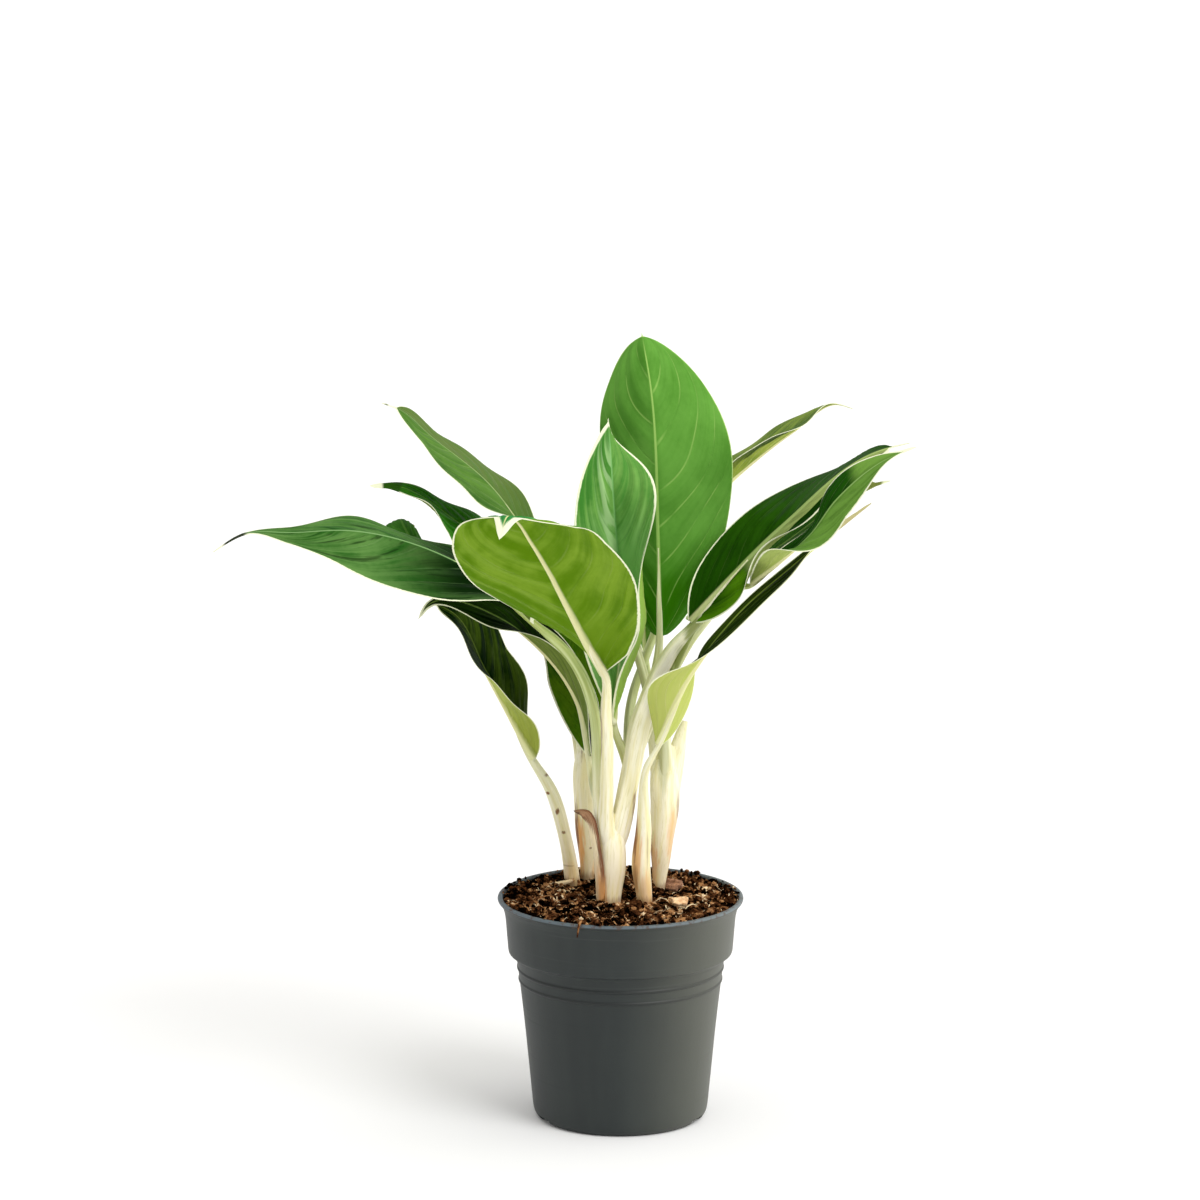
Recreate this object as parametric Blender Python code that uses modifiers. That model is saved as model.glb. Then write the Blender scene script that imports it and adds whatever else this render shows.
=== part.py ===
"""A potted Chinese evergreen: a nursery pot of soil with five shoots and sixteen leaves.

The pot's axis is +Z and the origin is the middle of its underside, where it stands on the
table. The side with the big pale-backed leaf faces -Y. Lengths are in millimetres and angles
in degrees, and each mesh is turned into metres when it is made.
"""
import math

import bmesh
import bpy
import numpy as np

MM = 0.001
GAP = 0.3

# Pot: a standard nursery pot 120 mm across the rim and 110 mm tall
POT_STEPS = 36
POT_TOP = 110.0
RIM_RADIUS = 60.0
COLLAR_RADIUS = 56.0
COLLAR_BOTTOM = 82.5
BODY_TOP_RADIUS = 50.6
BODY_BOTTOM_RADIUS = 42.9
RIDGE_HEIGHTS = (74.6, 68.7)
WALL = 1.5
FLOOR_TOP = 4.2
FOOT_RECESS = 2.2
FOOT_DISC_RADIUS = 12.5
FOOT_RING = (36.5, 39.4)
NOTCH_DIRECTIONS = (-154, -26, 90)
NOTCH_WIDTH = 11.5
NOTCH_HEIGHT = 2.6
DRAIN_COUNT = 6
DRAIN_RADIUS = 4.0
DRAIN_CIRCLE = 25.0

# Soil: filled to just below the rim, with a cane's hole wherever a shoot stands
SOIL_MIDDLE = 108.2
SOIL_EDGE = 108.4
SOIL_LUMPS = 0.5
CANE_FOOT = 92.0
CANE_LEVEL = 109.5

# Leaf blades
BLADE_THICKNESS = 0.8
BLADE_COLUMNS = 6
BLADE_ROWS = 13
EDGE_WIDTH = 0.6
STALK_GAP = 1.0

# Colours and roughness of each material
POT_GREY = ((0.045, 0.050, 0.048), 0.45)
SOIL_BROWN = ((0.045, 0.028, 0.017), 0.95)
STALK_CREAM = ((0.78, 0.76, 0.48), 0.45)
LEAF_GREEN = ((0.07, 0.22, 0.06), 0.40)
SHEATH_BROWN = ((0.42, 0.25, 0.12), 0.80)
CHIP_TAN = ((0.70, 0.50, 0.28), 0.80)
CHIP_BROWN = ((0.30, 0.17, 0.09), 0.85)

# Each leaf: points along its midrib from base to tip, the way its upper side faces at base,
# middle and tip, its half width, how blunt the base and tip are, and for its left and right
# half the angle at which the blade leaves the midrib and how much it turns by the edge, both
# given at even steps from base to tip. "tail" is where the blade gives way to the drawn-out
# tip, "tip" is where that tip starts and its half width, and "narrow" pinches a half.
LEAVES = {
    "leaf_tall": dict(
        midrib=[(19, 11, 236), (18, 7, 285), (14, 13, 361), (10, 20, 384)],
        face=[(0, -1, 0.2), (0, -1, 0.2), (0, -1, 0.3)],
        half=38, taper=(0.60, 0.56), tail=0.985,
        fold=([-30, -30, -30, -20], [-25, -15, -10, -30]),
        curl=([-25, -25, -25, -20], [-20, -15, -10, -25])),
    "leaf_young": dict(
        midrib=[(-4, 4, 196), (0, 0, 237), (-4, -12, 315), (-6, -10, 347)],
        face=[(0, -1, 0.1), (0, -1, 0.1), (0, -1, 0.3)],
        half=27, taper=(0.90, 0.83), tail=0.985,
        narrow=([1, 1, 1, 1], [1.1, 1.3, 1.05, 1]),
        fold=([45, 25, 30, 25], [50, 25, 30, -85]),
        curl=([20, 10, 10, 10], [105, 105, 45, -40])),
    "leaf_front": dict(
        midrib=[(-8, -19, 225), (-14, -33, 238), (-42, -87, 301), (-48, -96, 312), (-52, -104, 316),
                (-56, -115, 307)],
        face=[(-0.3, 0.75, 0.55), (-0.36, 0.75, 0.55), (-0.36, 0.7, 0.6), (-0.2, 0.1, 1)],
        half=41, taper=(0.86, 0.41), tail=0.9, tip=(0.86, 10),
        fold=([-10, -20, -30, -20], [70, 40, 25, 10]),
        curl=([-20, -30, -15, -10], [30, 10, 10, -5]), rows=18),
    "leaf_left_long": dict(
        midrib=[(-41, -6, 248), (-68, -14, 272), (-129, -24, 295), (-156, -24, 294), (-179, -22, 293),
                (-195, -22, 284)],
        face=[(0.2, -0.1, 1), (0, -0.1, 1), (0, -0.1, 1)],
        half=31, taper=(1.20, 1.50), tail=0.9,
        fold=([0, -35, -45, -10], [45, 0, 5, 5]),
        curl=([35, 10, 30, 55], [15, -10, -5, -10]), rows=16),
    "leaf_left_low": dict(
        midrib=[(-14, 14, 176), (-20, 15, 201), (-46, 13, 236), (-56, 11, 244), (-94, 6, 252),
                (-98, 5, 246)],
        face=[(0.9, -0.1, 0.3), (0.7, -0.1, 0.7), (0.1, -0.1, 1), (0, -0.2, 1)],
        half=18, taper=(0.56, 1.33), tail=0.95,
        fold=([15, 30, 30, -30, -40], [15, 20, 30, 40, 30]),
        curl=([-20, -10, 5, -25, -15], [5, 5, 10, 15, 10]), rows=16),
    "leaf_cane": dict(
        midrib=[(-42, 30, 172), (-66, 28, 216), (-83, 26, 246), (-92, 26, 250)],
        face=[(0.7, -0.3, 0.5), (0.4, -0.5, 0.8), (0.2, -0.5, 0.9)],
        half=22, taper=(0.73, 0.61), tail=0.97,
        fold=([75, 45, 30, 15], [-15, 10, 0, 25]),
        curl=([15, 10, 10, 5], [-15, 0, -5, 10])),
    "leaf_back_low": dict(
        midrib=[(-14, 38, 170), (-30, 39, 232), (-37, 40, 244)],
        face=[(0.2, -1, 0.2), (0.2, -1, 0.3), (0.2, -1, 0.5)],
        half=15, taper=(0.78, 0.30), tail=0.97,
        fold=([0, 0, 20, 35], [5, 5, 5, 5]),
        curl=([-5, -5, 5, 15], [0, 0, 0, 0])),
    "leaf_left_mid": dict(
        midrib=[(-52, 52, 262), (-79, 57, 284), (-112, 63, 302), (-124, 62, 302)],
        face=[(0.3, -0.3, 0.9), (0.1, -0.3, 1), (0, -0.3, 1)],
        half=25, taper=(0.45, 1.25), tail=0.93,
        fold=([-45, -5, 10, -55], [-20, -5, -10, 20]),
        curl=([0, 20, 30, -5], [-15, -10, -10, 5])),
    "leaf_left_high": dict(
        midrib=[(-37, 52, 266), (-66, 64, 304), (-94, 70, 326), (-108, 72, 338), (-118, 72, 342)],
        face=[(0.5, -0.4, 0.8), (0.4, -0.4, 0.9), (0.2, -0.4, 0.9)],
        half=27, taper=(0.89, 0.61), tail=0.93,
        fold=([65, 10, 15, 20], [5, -10, -20, -15]),
        curl=([35, 5, 5, 10], [0, -5, -10, -10])),
    "leaf_right_high": dict(
        midrib=[(40, 60, 292), (48, 66, 298), (86, 82, 326), (108, 86, 339), (116, 84, 337)],
        face=[(-0.5, -0.1, 0.8), (-0.3, -0.1, 1), (0, -0.1, 1)],
        half=23, taper=(0.58, 0.83), tail=0.93,
        fold=([60, 15, 10, -10], [40, 40, 30, 30]),
        curl=([5, -20, -20, -30], [-10, -10, -20, -15])),
    "leaf_right_big": dict(
        midrib=[(33, -10, 248), (76, -20, 296), (122, -28, 334), (137, -28, 338)],
        face=[(-0.6, -0.2, 0.7), (-0.5, -0.2, 0.8), (-0.3, -0.2, 1)],
        half=30, taper=(0.78, 0.45), tail=0.93,
        narrow=([1, 1], [1, 0.9, 0.45, 0.25, 0.2, 0.2]),
        fold=([90, 40, 20, 0, -10, 0], [-45, -35, -45, -65, -65, -60]),
        curl=([20, 0, -5, -10, -15, -10], [0, 35, 115, 40, 0, 0]), rows=18),
    "leaf_right_twist": dict(
        midrib=[(62, -25, 269.5), (76, -38, 283), (89, -46, 297), (101, -53, 315), (121, -57, 333),
                (138, -58, 341)],
        face=[(-0.5, -0.3, 0.75), (-0.4, -0.6, 0.6), (-0.35, -0.85, 0.4), (-0.3, -0.7, 0.7)],
        half=13, taper=(0.55, 0.77), tail=0.93,
        narrow=([0.2, 0.7, 1, 1, 1, 1], [0.6, 0.9, 1, 1, 1, 1]),
        fold=([50, 0, -30, -20, -15, -10], [80, 80, 20, 10, 25, 50]),
        curl=([0, 0, -20, -10, -10, -5], [10, 20, 10, 5, 15, 25]), rows=18),
    "leaf_right_low": dict(
        midrib=[(18, -20, 190), (33, -31, 226), (58, -35, 259), (80, -23, 276), (120, -9, 306)],
        face=[(-0.5, 0.8, 0.4), (-0.7, -0.3, 0.6), (-0.5, -0.5, 0.8)],
        half=16, taper=(0.37, 0.90), tail=0.95,
        narrow=([1, 1, 0.45, 0.4, 0.6, 1], [1, 1, 1, 1]),
        fold=([10, 5, 0, -5], [85, 10, 15, 75]),
        curl=([5, 5, 0, 0], [40, 5, 5, 35]), rows=16),
    "leaf_left_bent": dict(
        midrib=[(-64, 62, 244), (-103, 68, 273), (-107, 70, 280), (-109, 75, 283), (-110, 84, 278),
                (-112, 88, 270)],
        face=[(-0.2, -1, 0.3), (-0.2, -1, 0.3), (-0.2, -0.8, 0.6), (-0.3, 0.2, 1)],
        half=11, taper=(0.48, 0.61), tail=0.97,
        fold=([5, 5, 10, 5], [-20, -35, -40, -15]),
        curl=([-20, -20, -20, -20], [-35, -45, -45, -30]), rows=16),
    "leaf_back_centre": dict(
        midrib=[(12, 54, 220), (10, 56, 261), (3, 66, 324), (1, 74, 346)],
        face=[(0, -1, 0.2), (0, -1, 0.3), (0, -1, 0.4)],
        half=15, taper=(0.76, 0.60), tail=0.97,
        fold=([45, 35, 25, 20], [20, 15, 15, 15]),
        curl=([15, 15, 5, 5], [5, 0, 0, 0])),
    "leaf_right_back": dict(
        midrib=[(42, 14, 247), (50, 15, 258), (82, 14, 284), (116, 11, 308), (130, 7, 314)],
        face=[(-0.6, -0.4, 0.7), (-0.5, -0.5, 0.8), (-0.3, -0.4, 1)],
        half=16, taper=(0.64, 0.67), tail=0.93,
        fold=([0, -10, -5, 20], [20, 25, 25, 20]),
        curl=([-5, -10, -5, 5], [5, 10, 5, 5])),
}

# The dried sheath is a small blade that clings to the front cane and ends in a point
SHEATH = dict(
    midrib=[(-11, -12, 110), (-12, -12.5, 127), (-13.5, -12, 141), (-15, -10, 150), (-17, -9.5, 153),
            (-23, -9, 154.5)],
    face=[(-0.8, -0.6, 0), (-0.8, -0.6, 0), (-0.8, -0.6, 0.4), (-0.3, -0.4, 0.9)],
    half=3.6, taper=(0.25, 0.60), tail=0.98,
    fold=([-15, -15, -10, 0], [-15, -15, -10, 0]),
    curl=([-30, -30, -20, 0], [-30, -30, -20, 0]))

# Each shoot: its tubes as centre points with a radius at each, and for a leaf stalk the leaf
# that it carries, how far it runs on below that leaf's midrib, and its last radius.
SHOOTS = {
    "shoot_left": [
        ([(-23.5, 29, 92), (-23.5, 29, 109.5), (-26.5, 31, 128), (-31.5, 32, 148), (-37, 31, 161)],
         [3.7, 3.7, 3.2, 3.2, 2.6], ("leaf_cane", 0.6, 0.7))],
    "shoot_back": [
        ([(-16, 40, 92), (-16, 40, 109.5), (-17.5, 42, 142), (-18, 43, 164), (-17.5, 44, 178)],
         [3.5, 3.5, 5.4, 4.9, 2.8], None),
        ([(-16.5, 42, 148), (-14.5, 41, 160)], [3.0, 2.2], ("leaf_back_low", 0.3, 0.6)),
        ([(-17.5, 43, 150), (-18.5, 45, 169), (-21.5, 49, 197), (-30, 52, 224), (-41, 53, 247)],
         [3.6, 3.4, 2.6, 2.2, 2.0], ("leaf_left_mid", 0.35, 0.7)),
        ([(-18.5, 44, 152), (-20, 48, 174), (-26, 53, 198), (-37, 57, 223), (-51, 61, 237)],
         [3.4, 3.0, 2.4, 2.1, 1.8], ("leaf_left_bent", 0.3, 0.7))],
    "shoot_front": [
        ([(-5.5, -7, 92), (-5.5, -7, 109.5), (-4.5, -7, 127), (-4, -7, 140), (-3.5, -6, 153)],
         [5.7, 5.7, 6.8, 6.2, 3.2], None),
        ([(-6.5, -8, 134), (-7, -11, 155), (-6.5, -14, 172), (-6.5, -18, 191), (-7, -21, 211)],
         [4.6, 3.4, 3.1, 2.9, 2.5], ("leaf_front", 0.82, 0.6)),
        ([(-7.5, -6, 134), (-10, -6, 159), (-11, -7, 174), (-11.5, -8, 192), (-13.5, -9, 207),
          (-17.5, -9, 220), (-25.5, -8, 232), (-33, -7, 240)],
         [4.6, 3.4, 3.0, 2.7, 2.7, 2.7, 2.6, 2.4], ("leaf_left_long", 0.3, 0.7)),
        ([(-3.5, -7, 132), (-0.5, -6, 146), (3.5, -6, 164), (6.5, -6, 182), (8.5, -7, 194), (13, -8, 209),
          (20.5, -9, 227), (27, -10, 238)],
         [5.4, 5.2, 4.9, 4.9, 5.2, 4.6, 4.0, 3.2], ("leaf_right_big", 0.5, 0.7)),
        ([(-1.5, -3, 143), (3, 1, 162), (8, 5, 184), (13, 9, 203), (17, 12, 218)],
         [3.2, 3.0, 2.8, 2.6, 2.4], ("leaf_tall", 0.4, 0.7)),
        ([(0, -2, 140), (4, -1, 156), (4, 2, 171), (0.5, 5, 184)],
         [3.2, 2.8, 2.4, 2.1], ("leaf_young", 0.35, 0.7)),
        ([(2, 0, 142), (5, 8, 158), (4.5, 15, 172), (4, 23, 187), (6.5, 33, 205), (13, 38, 222),
          (20.5, 41, 243), (29, 49, 268), (35, 57, 282)],
         [3.2, 2.8, 2.6, 2.4, 2.2, 2.1, 2.0, 1.8, 1.6], ("leaf_right_high", 0.3, 0.6)),
        ([(-8, -2, 140), (-11, 4, 156), (-14, 11, 167)], [3.0, 2.6, 2.1], ("leaf_left_low", 0.35, 0.6)),
        ([(8, -7, 182), (13.5, -4.5, 197), (18.5, -4, 208), (22.5, -4, 217), (27, -3.5, 228),
          (36, -3.5, 246), (46, -5, 258), (55, -9, 264), (60, -17, 267)],
         [3.2, 3.0, 2.7, 2.5, 2.3, 2.1, 1.9, 1.7, 1.5], ("leaf_right_twist", 0.2, 0.5))],
    "shoot_thin": [
        ([(12, -10, 92), (12, -10, 109.5), (10, -10, 127), (11, -11, 143), (11.5, -13, 158), (11, -16, 172),
          (13, -19, 181)],
         [3.5, 3.5, 4.3, 3.8, 2.8, 1.8, 1.6], ("leaf_right_low", 0.42, 0.6))],
    "shoot_right": [
        ([(19, 18, 92), (19, 18, 109.5), (20, 19, 126), (21.5, 20, 147), (21.5, 21, 164), (22.5, 22, 180)],
         [3.0, 3.0, 5.0, 6.9, 7.0, 4.0], None),
        ([(23.5, 22, 150), (26.5, 24, 169), (29, 26, 181), (31.5, 27, 191)], [5.0, 4.4, 3.4, 1.6], None),
        ([(21.5, 19, 153), (21.5, 19, 173), (20.5, 18, 191), (20.5, 17, 207), (27, 15, 223), (35, 15, 237)],
         [4.6, 4.2, 3.6, 3.0, 3.2, 2.8], ("leaf_right_back", 0.3, 0.6)),
        ([(19.5, 22, 152), (17, 22, 175), (14.5, 22, 200), (10.5, 23, 218), (5.5, 26, 232), (-10, 38, 247),
          (-26, 48, 257)],
         [3.6, 3.0, 2.4, 2.2, 2.2, 2.0, 1.8], ("leaf_left_high", 0.35, 0.7)),
        ([(21.5, 26, 156), (19.5, 33, 175), (17, 41, 191), (14, 50, 207)],
         [3.2, 2.6, 2.4, 2.1], ("leaf_back_centre", 0.3, 0.7))],
}

# Bits lying on the soil: middle, length, width and thickness, and the way they point
CHIPS = {
    "tan_chip": ((29, -12), (5.5, 3.2, 1.6), 25, CHIP_TAN),
    "brown_chip": ((26, 19), (6.5, 3.6, 2.0), -35, CHIP_BROWN),
}


def smooth_curve(knots, points, t):
    """Cubic through the points, leaving each along the slope between its neighbours."""
    slope = np.gradient(points, knots, axis=0)
    k = np.clip(np.searchsorted(knots, t, side="right") - 1, 0, len(knots) - 2)
    step = (knots[k + 1] - knots[k])[:, None]
    u = (t - knots[k])[:, None] / step
    from_start = (2 * u**3 - 3 * u**2 + 1) * points[k] + (u**3 - 2 * u**2 + u) * step * slope[k]
    to_end = (3 * u**2 - 2 * u**3) * points[k + 1] + (u**3 - u**2) * step * slope[k + 1]
    return from_start + to_end


def blend(values, t):
    """Numbers or vectors given at even steps from 0 to 1, read smoothly at each t."""
    values = np.asarray(values, float)
    columns = values.reshape(len(values), -1)
    out = smooth_curve(np.linspace(0, 1, len(values)), columns, t)
    return out[:, 0] if values.ndim == 1 else out


def path(points, t):
    """Smooth path through space, with t measured along its chords."""
    points = np.asarray(points, float)
    lengths = np.linalg.norm(np.diff(points, axis=0), axis=1)
    knots = np.concatenate(([0.0], np.cumsum(lengths)))
    return smooth_curve(knots / knots[-1], points, t)


def unit(vectors):
    return vectors / np.linalg.norm(vectors, axis=-1, keepdims=True)


def leaf_frame(leaf, t):
    """Midrib point, direction to the tip, way the upper side faces, and way to the right half."""
    inside = np.clip(t, 0, 1)
    before = path(leaf["midrib"], np.clip(inside - 0.004, 0, 1))
    after = path(leaf["midrib"], np.clip(inside + 0.004, 0, 1))
    along = unit(after - before)
    length = np.linalg.norm(np.subtract(leaf["midrib"][-1], leaf["midrib"][0]))
    middle = path(leaf["midrib"], inside) + ((t - inside) * length)[:, None] * along
    face = blend(leaf["face"], inside)
    face = unit(face - np.sum(face * along, 1)[:, None] * along)
    return middle, along, face, np.cross(along, face)


def half_width(leaf, t):
    """One power of t for the base times one of (1 - t) for the end, joined to a thin tip."""
    base, end = leaf["taper"]
    x = np.clip(t / leaf["tail"], 0, 1)
    blade = leaf["half"] * (x * (base + end) / base) ** base * ((1 - x) * (base + end) / end) ** end
    start, size = leaf.get("tip", (0.93, 1.3))
    tip = size * np.clip((1 - t) / (1 - start), 0, 1) * np.clip(t / 0.1, 0, 1)
    return np.hypot(blade, tip) + EDGE_WIDTH


def leaf_points(leaf, t, s):
    """Blade points for t from base (0) to tip (1) and s from left edge (-1) to right edge (1).

    Away from the midrib the blade's angle goes from its fold to its fold plus its curl, so a
    point's way out sideways and its lift towards the face are the mean cosine and sine of the
    angles passed, times the distance along the blade.
    """
    middle, along, face, side = leaf_frame(leaf, t)
    right = s > 0
    reach = half_width(leaf, t) * np.abs(s)
    if "narrow" in leaf:
        reach = reach * np.where(right, blend(leaf["narrow"][1], t), blend(leaf["narrow"][0], t))
    fold = np.where(right, blend(leaf["fold"][1], t), blend(leaf["fold"][0], t))
    curl = np.where(right, blend(leaf["curl"][1], t), blend(leaf["curl"][0], t))
    passed = (np.arange(24) + 0.5) / 24 * np.abs(s)[:, None]
    angle = np.radians(fold[:, None] + curl[:, None] * passed)
    sideways = np.sign(s) * reach * np.cos(angle).mean(1)
    lift = reach * np.sin(angle).mean(1)
    return middle + sideways[:, None] * side + lift[:, None] * face


def keel(leaf, t, radius):
    """Centres of the stalk below a leaf's midrib, clear of both drooping halves."""
    middle, along, face, side = leaf_frame(leaf, t)
    inside = np.clip(t, 0, 1)
    droop = np.minimum(blend(leaf["fold"][0], inside), blend(leaf["fold"][1], inside))
    drop = (radius + STALK_GAP) / np.cos(np.radians(np.clip(-droop, 0, 60)))
    return middle - drop[:, None] * face


def stalk(points, radii, ending):
    """Centres and radii of a shoot's tube, with the keel of the leaf it carries."""
    if ending is None:
        return np.array(points, float), np.array(radii, float)
    name, reach, last = ending
    t = np.linspace(-0.03, reach, max(3, round(reach * 12)))
    thin = np.linspace(radii[-1] * 0.8, last, len(t))
    return np.concatenate((points, keel(LEAVES[name], t, thin))), np.concatenate((radii, thin))


def soil_height(x, y):
    """Height of the soil: a low mound with two crossing sets of soft lumps."""
    outward = np.clip(np.hypot(x, y) / 55.0, 0, 1)
    lumps = np.sin(x / 6.1 + y / 9.7) + np.sin(y / 5.3 - x / 11.0) * 0.8
    mound = SOIL_MIDDLE + (SOIL_EDGE - SOIL_MIDDLE) * outward**2
    return mound + SOIL_LUMPS * 0.5 * lumps * (1 - outward**4)


def new_collection(name):
    collection = bpy.data.collections.new(name)
    bpy.context.scene.collection.children.link(collection)
    return collection


def new_material(name, look):
    colour, roughness = look
    material = bpy.data.materials.new(name)
    material.use_nodes = True
    shader = material.node_tree.nodes["Principled BSDF"]
    shader.inputs["Base Color"].default_value = (*colour, 1)
    shader.inputs["Roughness"].default_value = roughness
    shader.inputs["Metallic"].default_value = 0.0
    return material


def add_object(name, data, collection, material=None):
    obj = bpy.data.objects.new(name, data)
    collection.objects.link(obj)
    if material is not None:
        data.materials.append(material)
    return obj


def apply_modifiers(obj):
    """Turn what the modifiers make into the object's own mesh."""
    depsgraph = bpy.context.evaluated_depsgraph_get()
    mesh = bpy.data.meshes.new_from_object(obj.evaluated_get(depsgraph))
    obj.modifiers.clear()
    obj.data = mesh


def turned(name, profile, steps, collection, material):
    """Solid of revolution of a profile of (radius, height) points that starts and ends on the axis."""
    mesh = bpy.data.meshes.new(name)
    points = [(radius * MM, 0, height * MM) for radius, height in profile]
    mesh.from_pydata(points, [(i, i + 1) for i in range(len(points) - 1)], [])
    obj = add_object(name, mesh, collection)
    screw = obj.modifiers.new("Turn", 'SCREW')
    screw.axis = 'Z'
    screw.steps = steps
    screw.render_steps = steps
    screw.use_merge_vertices = True
    screw.merge_threshold = 0.00001
    apply_modifiers(obj)
    obj.data.materials.append(material)
    return obj


def cutter_cylinder(name, centre, radius, low, high, sides=16):
    bm = bmesh.new()
    bmesh.ops.create_cone(bm, cap_ends=True, segments=sides, radius1=radius * MM, radius2=radius * MM,
                          depth=(high - low) * MM)
    return finish_cutter(name, bm, (centre[0] * MM, centre[1] * MM, (low + high) / 2 * MM), 0)


def cutter_box(name, centre, size, turn):
    bm = bmesh.new()
    bmesh.ops.create_cube(bm, size=1)
    bmesh.ops.scale(bm, vec=[length * MM for length in size], verts=bm.verts)
    return finish_cutter(name, bm, [place * MM for place in centre], turn)


def finish_cutter(name, bm, location, turn):
    mesh = bpy.data.meshes.new(name)
    bm.to_mesh(mesh)
    bm.free()
    obj = add_object(name, mesh, cutters)
    obj.location = location
    obj.rotation_euler.z = math.radians(turn)
    obj.hide_render = True
    obj.display_type = 'WIRE'
    return obj


def cut(obj, tools):
    """Cut each tool out of the object."""
    for tool in tools:
        modifier = obj.modifiers.new("Cut " + tool.name, 'BOOLEAN')
        modifier.object = tool
        modifier.operation = 'DIFFERENCE'
        modifier.solver = 'EXACT'


def tube(name, points, radii, collection):
    """Round tube through the points, as a closed mesh."""
    curve = bpy.data.curves.new(name, 'CURVE')
    curve.dimensions = '3D'
    curve.bevel_depth = MM
    curve.bevel_resolution = 2
    curve.use_fill_caps = True
    spline = curve.splines.new('POLY')
    spline.points.add(len(points) - 1)
    for node, place, radius in zip(spline.points, points, radii):
        node.co = (*(place * MM), 1)
        node.radius = radius
    guide = add_object(name, curve, collection)
    depsgraph = bpy.context.evaluated_depsgraph_get()
    mesh = bpy.data.meshes.new_from_object(guide.evaluated_get(depsgraph))
    bm = bmesh.new()
    bm.from_mesh(mesh)
    bmesh.ops.remove_doubles(bm, verts=bm.verts, dist=0.000001)
    bm.to_mesh(mesh)
    bm.free()
    obj = add_object(name, mesh, collection)
    obj.matrix_world = guide.matrix_world
    bpy.data.objects.remove(guide)
    return obj


def join_tubes(name, tubes, material):
    """One body from a shoot's overlapping tubes."""
    pieces = [tube(name + "_tube", *stalk(*parts), joining) for parts in tubes]
    base = pieces[0]
    joining.objects.unlink(base)
    plant.objects.link(base)
    base.name = name
    if len(pieces) > 1:
        union = base.modifiers.new("Join", 'BOOLEAN')
        union.operand_type = 'COLLECTION'
        union.collection = joining
        union.operation = 'UNION'
        union.solver = 'EXACT'
        apply_modifiers(base)
    for piece in pieces[1:]:
        bpy.data.objects.remove(piece)
    base.data.materials.clear()
    base.data.materials.append(material)
    return base


def blade(name, leaf, columns, thickness, material):
    """Thin blade: a grid laid on the leaf's surface, split into triangles, then thickened."""
    rows = leaf.get("rows", BLADE_ROWS)
    bm = bmesh.new()
    bmesh.ops.create_grid(bm, x_segments=columns, y_segments=rows, size=1)
    grid = np.array([vert.co[:] for vert in bm.verts])
    u = (grid[:, 1] + 1) / 2
    t = 0.6 * u + 0.4 * (1 - np.cos(np.pi * u)) / 2
    for vert, place in zip(bm.verts, leaf_points(leaf, t, grid[:, 0])):
        vert.co = place * MM
    bmesh.ops.triangulate(bm, faces=bm.faces, quad_method='FIXED')
    mesh = bpy.data.meshes.new(name)
    bm.to_mesh(mesh)
    bm.free()
    obj = add_object(name, mesh, plant, material)
    solid = obj.modifiers.new("Thickness", 'SOLIDIFY')
    solid.thickness = thickness * MM
    solid.offset = 0
    solid.use_even_offset = False
    return obj


def chip(name, centre, size, turn, material):
    """Flat bit of bark with bevelled edges and one narrow end, just above the soil."""
    bm = bmesh.new()
    bmesh.ops.create_cube(bm, size=1)
    for vert in bm.verts:
        if vert.co.x > 0:
            vert.co.y *= 0.55
            vert.co.z *= 0.8
    bmesh.ops.scale(bm, vec=[length * MM for length in size], verts=bm.verts)
    bmesh.ops.bevel(bm, geom=bm.edges, offset=0.45 * MM, segments=1, affect='EDGES')
    mesh = bpy.data.meshes.new(name)
    bm.to_mesh(mesh)
    bm.free()
    obj = add_object(name, mesh, plant, material)
    around = np.linspace(0, 2 * np.pi, 24)
    reach = max(size) / 2
    ground = soil_height(centre[0] + reach * np.cos(around), centre[1] + reach * np.sin(around)).max()
    obj.location = (centre[0] * MM, centre[1] * MM, (ground + GAP + size[2] / 2) * MM)
    obj.rotation_euler.z = math.radians(turn)
    return obj


for old in list(bpy.data.objects):
    bpy.data.objects.remove(old)

plant = new_collection("potted_chinese_evergreen")
cutters = new_collection("cutters")
joining = new_collection("joining")

# Pot: one closed profile, down the outside, across the underside and up the inside
ridges = []
for height in RIDGE_HEIGHTS:
    along_wall = height / (COLLAR_BOTTOM - 5)
    radius = BODY_BOTTOM_RADIUS + (BODY_TOP_RADIUS - BODY_BOTTOM_RADIUS) * along_wall
    ridges += [(radius, height + 0.9), (radius + 0.5, height + 0.3), (radius + 0.5, height - 0.3),
               (radius - 0.1, height - 0.9)]
outside = [
    (RIM_RADIUS - 0.7, POT_TOP), (RIM_RADIUS, POT_TOP - 0.9), (RIM_RADIUS - 0.2, POT_TOP - 2.2),
    (RIM_RADIUS - 1.6, POT_TOP - 5), (COLLAR_RADIUS + 0.7, POT_TOP - 7.5), (COLLAR_RADIUS, POT_TOP - 10),
    (COLLAR_RADIUS - 1.2, COLLAR_BOTTOM + 1), (COLLAR_RADIUS - 1.8, COLLAR_BOTTOM - 0.5),
    (BODY_TOP_RADIUS + 1.2, COLLAR_BOTTOM - 3), (BODY_TOP_RADIUS, COLLAR_BOTTOM - 5),
    *ridges,
    (46.8, 46), (44.9, 26), (BODY_BOTTOM_RADIUS, 5), (BODY_BOTTOM_RADIUS - 0.7, 2.2), (41.0, 0.7)]
underside = [
    (FOOT_RING[1], 0), (FOOT_RING[0], 0), (FOOT_RING[0] - 0.6, FOOT_RECESS),
    (FOOT_DISC_RADIUS + 1, FOOT_RECESS), (FOOT_DISC_RADIUS, 0), (0, 0)]
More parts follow.
